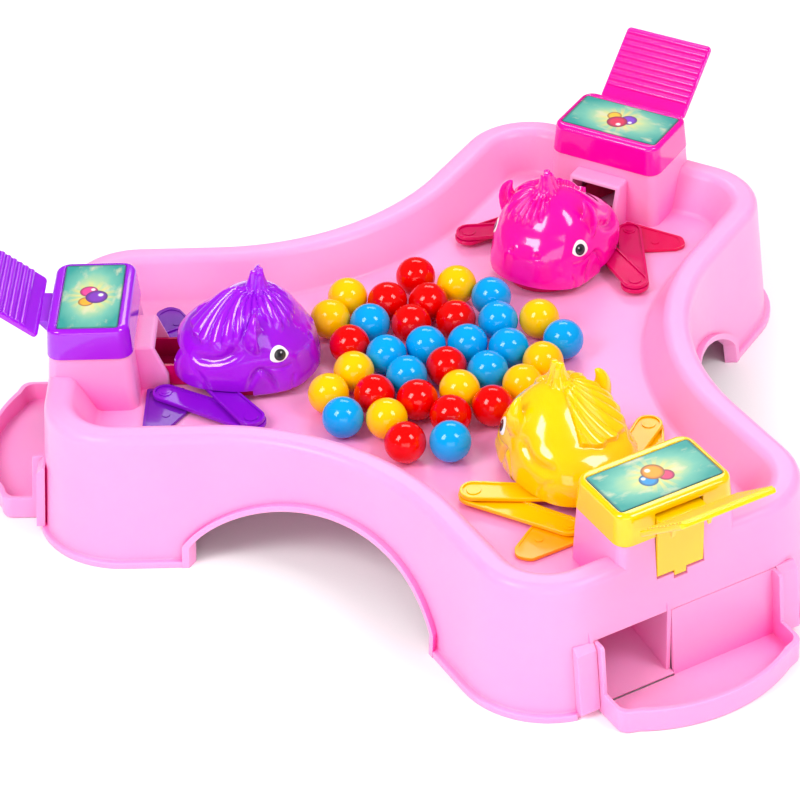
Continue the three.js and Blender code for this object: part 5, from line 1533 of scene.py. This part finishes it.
def catch_tray():
    """The tray with its open back, the panel that closes the window and a flange at each side."""
    low = SEAT_GAP - FLOOR_HEIGHT
    wall_top, floor_top = low + CATCH_WALL_HEIGHT, low + CATCH_WALL
    panel_top = WINDOW_TOP - SLIDE_GAP
    back = wall_reach(-FLOOR_HEIGHT) + SLIDE_GAP
    left, right = CATCH_LEFT, CATCH_RIGHT
    tray = softened(prism(catch_plan(0), low, wall_top), BOWL_EDGE, 3, PLATE_EDGE_ANGLE)
    inside = prism(catch_plan(CATCH_WALL), floor_top, wall_top + OVERRUN)
    softened(inside, LINK_EDGE, 2, PLATE_EDGE_ANGLE)
    open_back = block(
        back - OVERRUN, back + CATCH_WALL + OVERRUN, left + CATCH_WALL, right - CATCH_WALL,
        floor_top, wall_top + OVERRUN,
    )
    carved(tray, inside, open_back)
    panel = [
        (wall_reach(low) - CATCH_WALL, low), (back + CATCH_WALL, low), (back + CATCH_WALL, floor_top),
        (wall_reach(floor_top), floor_top), (wall_reach(panel_top), panel_top),
        (wall_reach(panel_top) - CATCH_WALL, panel_top),
    ]
    flange = filleted([
        (wall_reach(low) - CATCH_WALL, low, 0), (wall_reach(low) + CATCH_FLANGE_DEPTH, low, 0),
        (wall_reach(panel_top) + CATCH_FLANGE_DEPTH, panel_top, CATCH_WALL),
        (wall_reach(panel_top) - CATCH_WALL, panel_top, 0),
    ], 6)
    panel_left = -CHUTE_SIDE + CHUTE_WALL + SLIDE_GAP
    flanges = [
        softened(prism(flange, *sides, "side"), FINE_EDGE, 2, PLATE_EDGE_ANGLE)
        for sides in ((left, left + CATCH_WALL), (right - CATCH_WALL, right))
    ]
    return joined(tray, prism(panel, panel_left, right, "side"), *flanges)


# Making the head


def head_sections(levels):
    """The head's sections at evenly spaced levels, on a smooth curve through those of the list."""
    rows = np.array(HEAD_SECTIONS)
    steps = np.concatenate([[0], np.cumsum(np.linalg.norm(np.diff(rows, axis=0), axis=1))])
    wanted = np.linspace(0, steps[-1], levels)
    slopes = np.gradient(rows, steps, axis=0)
    sections = []
    for place in wanted:
        i = min(int(np.searchsorted(steps, place, "right")) - 1, len(rows) - 2)
        run = steps[i + 1] - steps[i]
        t = (place - steps[i]) / run
        sections.append(
            (2 * t**3 - 3 * t**2 + 1) * rows[i] + (t**3 - 2 * t**2 + t) * run * slopes[i]
            + (3 * t**2 - 2 * t**3) * rows[i + 1] + (t**3 - t**2) * run * slopes[i + 1]
        )
    return sections


def head_ring(section, inset, z=None, segments=96):
    height, front_share, back_share, width_share = section
    front = SNOUT_REACH + HEAD_LENGTH * front_share + inset
    back = SNOUT_REACH + HEAD_LENGTH * back_share - inset
    half_width = max(HEAD_LEAST_HALF_WIDTH, HEAD_WIDTH * width_share / 2 - inset)
    level = HEAD_HEIGHT * height - inset if z is None else z
    power = 2 / HEAD_SQUARENESS
    points = []
    for i in range(segments):
        angle = 2 * math.pi * i / segments
        x = math.copysign(abs(math.cos(angle)) ** power, math.cos(angle))
        y = math.copysign(abs(math.sin(angle)) ** power, math.sin(angle))
        points.append(((front + back) / 2 + (back - front) / 2 * x, half_width * y, level))
    return points


def tapered(places, sides=20):
    """A closed horn-like form through places, each a centre and a radius."""
    rings = []
    for i, (centre, radius) in enumerate(places):
        here = Vector(centre)
        before = Vector(places[max(0, i - 1)][0])
        after = Vector(places[min(len(places) - 1, i + 1)][0])
        along = (after - before).normalized()
        across = along.cross(Vector((1, 0, 0))).normalized()
        rings.append(round_ring(here, radius, across, across.cross(along), sides))
    return loft(rings)


def curve_point(start, via, end, t):
    return Vector(start) * (1 - t) ** 2 + Vector(via) * 2 * t * (1 - t) + Vector(end) * t * t


def curve_places(curve, radii):
    last = len(radii) - 1
    return [(tuple(curve_point(*curve, i / last)), radius) for i, radius in enumerate(radii)]


def horn_strands():
    """The upright tuft: two cores, front and back, and thin ribs round them that lean to their tips."""
    strands = []
    for tip_side in (-1, 1):
        tip_reach = TUFT_REACH - TUFT_LEAN + tip_side * TUFT_PARTING
        strands.append(tapered(curve_places((
            (TUFT_REACH, tip_side * 0.6, 40.0),
            (TUFT_REACH - 0.2 + tip_side * 1.6, tip_side * 0.5, 50.0),
            (tip_reach, tip_side * 0.8, TUFT_RISE - 0.3 * tip_side),
        ), TUFT_CORE_RADII)))
    for rib in range(TUFT_RIBS):
        turn = 2 * math.pi * (rib + 0.5) / TUFT_RIBS
        out, aside = math.cos(turn), math.sin(turn)
        tip_reach = TUFT_REACH - TUFT_LEAN + (1 if out > 0 else -1) * TUFT_PARTING
        strands.append(tapered(curve_places((
            (TUFT_REACH + out * 8.6, aside * 7.0, 42.0),
            (TUFT_REACH + out * 3.9, aside * 3.0, 48.0),
            (tip_reach + out * 1.0, aside * 1.9, TUFT_RISE - 1.8),
        ), TUFT_RIB_RADII), 14))
    return strands


def mirrored_place(place, side):
    x, y, z = place
    return x, side * y, z


def ear(side):
    """A thick pointed ear, with a groove up the side that looks forwards and out."""
    line = [mirrored_place(place, side) for place in EAR_LINE]
    front = Vector(mirrored_place(EAR_FACING, side)).normalized()
    levels, steps, ahead = 12, 36, 0.02
    rings = []
    for k in range(levels + 1):
        t = k / levels
        here = curve_point(*line, t)
        along = (curve_point(*line, t + ahead) - curve_point(*line, t - ahead)).normalized()
        across = along.cross(front).normalized()
        out = across.cross(along)
        half_width = EAR_HALF_WIDTH * (1 - t) ** EAR_TAPER + EAR_TIP_HALF_WIDTH
        half_depth = EAR_HALF_DEPTH * (1 - t) ** EAR_TAPER + EAR_TIP_HALF_DEPTH
        points = []
        for step in range(steps):
            a = 2 * math.pi * step / steps
            rise = math.sin(a)
            groove = rise ** 3 if rise > 0 else 0
            aside = across * half_width * math.cos(a)
            points.append(tuple(here + aside + out * half_depth * (rise - groove)))
        rings.append(points)
    return loft(rings)


def path_points(curve, tree, count=26):
    return np.array([tree.find_nearest(curve_point(*curve, i / count))[0] for i in range(count + 1)])


def hump(away, width):
    """A soft bump: 1 in the middle and next to nothing two widths away."""
    return np.exp(-(away / width) ** 2)


def press(places, normals, path, depth, width):
    """How each point moves when a soft groove, fading at its ends, is sunk along a path."""
    nearest = np.full(len(places), 1e9)
    share = np.zeros(len(places))
    last = len(path) - 1
    for i in range(last):
        start, run = path[i], path[i + 1] - path[i]
        t = np.clip((places - start) @ run / max(run @ run, 1e-9), 0, 1)
        away = np.linalg.norm(places - start - t[:, None] * run, axis=1)
        closer = away < nearest
        nearest[closer] = away[closer]
        share[closer] = (i + t[closer]) / last
    start_fade, end_fade = 0.2, 0.25
    strength = hump(nearest, width) * blended(share / start_fade) * blended((1 - share) / end_fade)
    return normals * (depth * strength)[:, None]


# Headings round the tuft's foot, 0 backwards, 90 to the left side and 180 forwards, and how far the
# hair reaches from there
HAIR_ENDS = [
    (-12, 33.0), (0, 36.5), (30, 37.0), (53, 36.0), (66, 32.5), (76, 25.0), (84, 17.5), (97, 16.5),
    (108, 21.0), (118, 25.0), (130, 24.5), (150, 22.5), (180, 21.0), (200, 17.0), (212, 12.0),
]
FOLD_PATHS = [
    # start, middle and end on the left side, depth and width of the fold
    (((76.5, 24.5, 19.8), (83.5, 28.0, 17.2), (92.0, 28.0, 20.5)), -0.55, 0.8),
    (((101.0, 28.0, 5.0), (93.0, 29.0, 36.0), (83.5, 27.0, -2.0)), -1.7, 1.5),
    (((76.0, 25.0, 15.0), (79.0, 27.0, 9.0), (76.5, 26.0, 3.0)), -0.7, 1.0),
    (((102.0, 25.0, 32.0), (114.0, 28.5, 18.5), (130.5, 22.0, 27.5)), -2.2, 2.6),
    (((128.0, 22.0, 21.0), (119.0, 27.5, 14.0), (120.0, 27.0, 5.0)), -0.6, 1.3),
]
SWELL_PLACES = [
    # centre on the left side, height and width of the swelling
    ((77.0, 24.0, 10.0), 1.0, 6.5),
    ((92.0, 28.5, 9.0), -0.9, 5.5),
    ((103.0, 28.5, 12.0), 0.9, 8.0),
    ((125.0, 22.0, 14.0), 1.0, 10.0),
    ((67.0, 9.0, 19.0), 0.6, 6.0),
    ((83.0, 26.0, 24.0), 0.6, 6.5),
]


def hair_relief(places, stand_off):
    """Height of the hair: locks that fan out from the tuft over the head's left side and fade."""
    foot = np.array([TUFT_REACH, 0.0, HEAD_HEIGHT - HAIR_FOOT_DROP])
    away = np.linalg.norm(places - foot, axis=1)
    heading = np.degrees(np.arctan2(places[:, 1], places[:, 0] - TUFT_REACH))
    heading = np.where(heading < -90, heading + 360, heading)
    swept = heading - HAIR_SWEEP * (away - HAIR_SWEEP_START) * blended((130 - heading) / 40)
    lock = np.mod(swept / HAIR_LOCK_TURN, 1)
    ridge = np.abs(np.sin(np.pi * lock)) ** 0.8
    headings, ends = zip(*HAIR_ENDS)
    end = np.interp(heading, headings, ends, left=0, right=0) + HAIR_POINT * (0.5 - np.abs(2 * lock - 1))
    edge = HAIR_EDGE + HAIR_FRONT_FADE * blended((heading - 25) / 30)
    on_dome = blended((away - 3) / 6) * blended((2.6 - stand_off) / 1.6)
    thick = HAIR_THICKNESS + HAIR_BACK_THICKNESS * blended((55 - heading) / 45)
    return blended((end - away) / edge) * on_dome * (thick + HAIR_RIDGE * ridge)


def vectors(items, key):
    """One row of three numbers for each item of a mesh."""
    values = np.zeros(len(items) * 3)
    items.foreach_get(key, values)
    return values.reshape(-1, 3)


def sculpted_head():
    """The head's outside: dome, tuft and ears run together, then hair, folds and nostrils."""
    head = loft([head_ring(section, 0) for section in head_sections(64)])
    dome_tree = surface_tree(head)
    joined(head, *horn_strands(), *both_sides(ear))
    grid = head.modifiers.new("even", "REMESH")
    grid.mode = "VOXEL"
    grid.voxel_size = HEAD_GRID
    smooth = head.modifiers.new("smooth", "SMOOTH")
    smooth.factor = 0.5
    smooth.iterations = 5
    settled(head)

    mesh = head.data
    places = vectors(mesh.vertices, "co")
    normals = vectors(mesh.vertex_normals, "vector")
    tree = surface_tree(head)
    stand_off = np.array([dome_tree.find_nearest(place)[3] for place in places])
    moved = normals * hair_relief(places, stand_off)[:, None]
    for side in (1, -1):
        for curve, depth, width in FOLD_PATHS:
            path = path_points([mirrored_place(place, side) for place in curve], tree)
            moved += press(places, normals, path, depth, width)
        for centre, height, width in SWELL_PLACES:
            away = np.linalg.norm(places - np.array(mirrored_place(centre, side)), axis=1)
            moved += normals * (height * hump(away, width))[:, None]
        nostril = np.array(tree.find_nearest(Vector(mirrored_place(NOSTRIL_PLACE, side)))[0])
        away = np.linalg.norm(places - nostril, axis=1)
        pit = NOSTRIL_RIM_HEIGHT * hump(away - NOSTRIL_RIM_REACH, NOSTRIL_RIM_WIDTH)
        pit -= NOSTRIL_DEPTH * hump(away, NOSTRIL_RADIUS)
        moved += normals * pit[:, None]
    places = places + moved
    mesh.vertices.foreach_set("co", places.reshape(-1))
    mesh.update()
    return head


def hinge_pegs(side):
    """The boss inside the shell and the thinner peg that turns in the neck's ear."""
    boss, peg = (
        cross_rod(radius, HINGE_REACH, HINGE_RISE, *span(side, near, HEAD_WIDTH / 2))
        for radius, near in (
            (HINGE_EAR_RADIUS, NECK_HALF_WIDTH + SLIDE_GAP),
            (HINGE_PEG_RADIUS, NECK_HALF_WIDTH - NECK_WALL + SLIDE_GAP),
        )
    )
    return joined(boss, peg)


def head_shell(outside):
    """The hollow shell: open below and over the neck, raised over the jaw and the thighs."""
    sections = head_sections(20)
    rings = [head_ring(HEAD_SECTIONS[0], HEAD_WALL, -OVERRUN)]
    rings += [head_ring(section, HEAD_WALL) for section in sections[2:-2]]
    leg_top = THIGH_LOW + LEG_THICKNESS + SEAT_GAP
    back = SNOUT_REACH + HEAD_LENGTH + OVERRUN
    half_neck = NECK_HALF_WIDTH + SLIDE_GAP
    shell = carved(
        outside,
        loft(rings),
        block(KNEE_REACH, back, -HEAD_WIDTH, HEAD_WIDTH, -OVERRUN, leg_top),
        block(HINGE_REACH - HINGE_EAR_RADIUS, back, -half_neck, half_neck, -OVERRUN, NECK_DOOR_RISE),
        prism([
            (SNOUT_REACH - HEAD_WALL, -OVERRUN), (back, -OVERRUN), (back, HEAD_FOOT_RISE),
            (SNOUT_REACH + LIP_RUN, HEAD_FOOT_RISE), (SNOUT_REACH - HEAD_WALL, LIP_RISE),
        ], -HEAD_WIDTH, HEAD_WIDTH, "side"),
    )
    dome = loft([head_ring(section, PEG_INSET) for section in head_sections(24)])
    left_pegs, right_pegs = both_sides(hinge_pegs)
    joined(left_pegs, right_pegs)
    combined(left_pegs, [dome], "INTERSECT")
    return joined(shell, left_pegs)


def eye_patch(tree, side):
    """A slightly domed almond that follows the head's surface, with its own chart for the print."""
    x, z = EYE_PLACE
    aim = tree.find_nearest(Vector((x, side * EYE_SIDE, z + EYE_AIM_RISE)))
    facing = aim[1].normalized()
    forward = (Vector((-1, 0, 0)) - facing * Vector((-1, 0, 0)).dot(facing)).normalized()
    upward = facing.cross(forward) * side
    upward = upward if upward.z > 0 else -upward
    tilt = math.radians(EYE_TILT)
    along = forward * math.cos(tilt) + upward * math.sin(tilt)
    over = upward * math.cos(tilt) - forward * math.sin(tilt)
    rings, segments = 12, 56
    points, charts = [], []
    for r in range(rings + 1):
        share = r / rings
        for s in range(segments):
            angle = 2 * math.pi * s / segments
            lift = math.sin(angle)
            pinch = abs(lift) ** EYE_CORNER_POWERS[0 if math.cos(angle) > 0 else 1]
            u = EYE_HALF_LENGTH * share * math.cos(angle)
            v = EYE_HALF_HEIGHT * share * math.copysign(pinch, lift)
            v *= 1.0 if lift > 0 else EYE_LOWER_SHARE
            start = aim[0] + along * u + over * v + facing * EYE_AIM_REACH
            hit = tree.ray_cast(start, -facing)
            spot = hit[0] if hit[0] is not None else start - facing * EYE_AIM_REACH
            points.append(tuple(spot + facing * (EYE_EDGE_RISE + EYE_DOME * (1 - share ** 2))))
            charts.append(tuple(
                0.5 + (place - middle) / EYE_CHART_SIZE for place, middle in zip((u, v), EYE_CHART_CENTRE)
            ))
    edge, base = rings * segments, len(points)
    points += [tuple(Vector(point) - facing * EYE_DEPTH) for point in points[edge:]]
    charts += charts[edge:]
    faces = [tuple(range(base, base + segments))]
    for r in range(rings + 1):
        low, high = r * segments, (r + 1) * segments
        for s in range(segments):
            t = (s + 1) % segments
            faces.append((low + s, low + t, high + t, high + s))
    mesh = bpy.data.meshes.new("eye")
    mesh.from_pydata(points, [], faces)
    layer = mesh.uv_layers.new(name="eye")
    for loop in mesh.loops:
        layer.data[loop.index].uv = charts[loop.vertex_index]
    with edited(mesh) as shape:
        bmesh.ops.remove_doubles(shape, verts=shape.verts, dist=1e-4)
        bmesh.ops.recalc_face_normals(shape, faces=shape.faces)
    return new_form(mesh)


# Making a ball


def seam_facing(number):
    """A direction of its own for each ball's seam."""
    heading, lean = number * 2.4, 0.5 + (number * 0.37) % 1.2
    level = math.sin(lean)
    return Vector((math.cos(heading) * level, math.sin(heading) * level, math.cos(lean)))


def play_ball(name, body, shade_name, x_share, y_share, number, nodes=()):
    mesh = bpy.data.meshes.new(name)
    with edited(mesh) as shape:
        bmesh.ops.create_icosphere(shape, subdivisions=4, radius=BALL_RADIUS)
    seam_normal = seam_facing(number)
    seam = mesh.attributes.new("seam", "FLOAT", "POINT")
    for i, vertex in enumerate(mesh.vertices):
        seam.data[i].value = abs(vertex.co.normalized().dot(seam_normal))
    diameter = BALL_RADIUS * 2
    mesh.transform(Matrix.Translation((diameter * x_share, diameter * y_share, BALL_RISE)))
    piece(new_form(mesh), name, body, BALL_PLASTIC[shade_name], nodes, angle=180)


# Placing the pieces

piece(tray_moulding(), "tray_moulding", "tray", PINK, ["base_tray"], angle=28)

HEAD_OUTSIDE = sculpted_head()
HEAD_TREE = surface_tree(HEAD_OUTSIDE)
EYES = {"left": eye_patch(HEAD_TREE, 1), "right": eye_patch(HEAD_TREE, -1)}
HEAD = head_shell(HEAD_OUTSIDE)
PARTS = {
    "cap": tower_cap(),
    "picture": picture_plate(),
    "pin": pin(),
    "spring": return_spring(),
    "jaw": jaw_and_neck(),
    "catch": catch_tray(),
}
LEGS = {
    name: {"foot": foot_leaf(side), "shin": shin(side), "thigh": thigh(side)}
    for name, side in (("left", 1), ("right", -1))
}

for shade_name, station_angle in STATIONS.items():
    station_plastic = STATION_PLASTIC[shade_name]

    def station_piece(form, part, body, material, node=None):
        nodes = [f"{shade_name}_{node}"] if node else []
        return piece(twin(form), f"{shade_name}_{part}", body, material, nodes, station_angle)

    lever_body, jaw_body, head_body, catch_body = (
        f"{shade_name}_{name}" for name in ("lever", "carriage", "head", "catch")
    )
    station_piece(PARTS["cap"], "cap", "tray", station_plastic, "tower_cap")
    station_piece(
        PARTS["picture"], "picture", "tray", PICTURES[shade_name], "picture_plate"
    )
    station_piece(PARTS["pin"], "pin", "tray", STEEL, "lever_pin")
    station_piece(pedal(station_plastic), "pedal", lever_body, station_plastic, "pedal_lever")
    station_piece(PARTS["jaw"], "jaw_and_neck", jaw_body, CRIMSON, "jaw_carriage")
    station_piece(HEAD, "head", head_body, station_plastic, "head_shell")
    station_piece(PARTS["catch"], "catcher", catch_body, PINK, "catch_tray")
    for eye_side, eye in EYES.items():
        station_piece(eye, f"{eye_side}_eye", head_body, EYE)
    for leg_side, forms in LEGS.items():
        leg = f"{shade_name}_{leg_side}"
        for kind, label, body, plastics in (
            ("foot", "foot_leaf", "tray", LEAF_SHADED_PLASTIC),
            ("shin", "lower_leg", f"{leg}_shin_link", LEG_SHADED_PLASTIC),
            ("thigh", "upper_leg", f"{leg}_thigh_link", LEG_SHADED_PLASTIC),
        ):
            station_piece(
                forms[kind], f"{leg_side}_{label}", body, plastics[shade_name],
                f"{leg_side}_{kind}",
            )
    coil = station_piece(PARTS["spring"], "coil", "tray", STEEL, "return_spring")
    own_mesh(coil)

# Forms of which only copies are in the game
for form in [item for item in bpy.data.objects if item.name.startswith("form")]:
    bpy.data.objects.remove(form)

for number, (shade_name, x_share, y_share) in enumerate(BALL_PLACES + LOOSE_BALL_PLACES, 1):
    ball = f"ball_{number:02d}"
    solid_in_part = number <= len(BALL_PLACES)
    body, nodes = (ball, [f"play_{ball}_{shade_name}"]) if solid_in_part else ("tray", ())
    play_ball(f"{ball}_{shade_name}", body, shade_name, x_share, y_share, number, nodes)


# Studio


FLOOR_HALF_WIDTH = 4.0
PAPER_SCALE = 900.0
PAPER_TONES = (0.93, 0.97)
WORLD_STRENGTH = 0.74
GLOSSY_DIMMING = -0.6
SOFT_BOXES = [
    # name, place, size and power; each looks at the middle of the game
    ("left_soft_box", (-0.9, -0.7, 1.2), (0.5, 0.7), 12),
    ("right_soft_box", (0.9, -0.5, 1.3), (0.45, 0.6), 9),
    ("back_soft_box", (0.1, 1.2, 1.1), (0.9, 0.4), 5),
    ("front_soft_box", (0.1, -1.5, 0.5), (1.2, 0.6), 5),
]


def studio_floor():
    mesh = bpy.data.meshes.new("studio_floor")
    with edited(mesh) as shape:
        bmesh.ops.create_grid(shape, x_segments=1, y_segments=1, size=FLOOR_HALF_WIDTH)
    mesh.transform(Matrix.Translation((0, 0, -FLOOR_HEIGHT * MM)))
    floor = new_form(mesh, "studio_floor")
    material, tree, shader = new_material("studio_paper", (0.95, 0.95, 0.95, 1.0))
    where = add(tree, "ShaderNodeTexCoord").outputs["Object"]
    dark, light = ((tone, tone, tone, 1.0) for tone in PAPER_TONES)
    fibre = noise(tree, where, PAPER_SCALE, 2.0)
    feed(tree, shader, {"Base Color": mixed(tree, fibre, dark, light), "Roughness": 0.9})
    floor.data.materials.append(material)


def soft_box(name, place, size, power):
    data = bpy.data.lights.new(name, "AREA")
    data.shape = "RECTANGLE"
    data.size, data.size_y = size
    data.energy = power
    lamp = bpy.data.objects.new(name, data)
    lamp.location = place
    lamp.rotation_euler = (-Vector(place)).to_track_quat("-Z", "Y").to_euler()
    bpy.context.scene.collection.objects.link(lamp)


def studio_light():
    """A bright world, dimmer in what glossy faces mirror, and four soft boxes."""
    world = bpy.data.worlds.new("studio_light")
    world.use_nodes = True
    tree = world.node_tree
    glossy = add(tree, "ShaderNodeLightPath").outputs["Is Glossy Ray"]
    strength = maths(tree, "MULTIPLY_ADD", glossy, GLOSSY_DIMMING, WORLD_STRENGTH)
    feed(tree, tree.nodes["Background"], {"Color": WHITE, "Strength": strength})
    bpy.context.scene.world = world
    for soft_box_values in SOFT_BOXES:
        soft_box(*soft_box_values)
    bpy.context.scene.view_settings.view_transform = "Standard"


studio_floor()
studio_light()
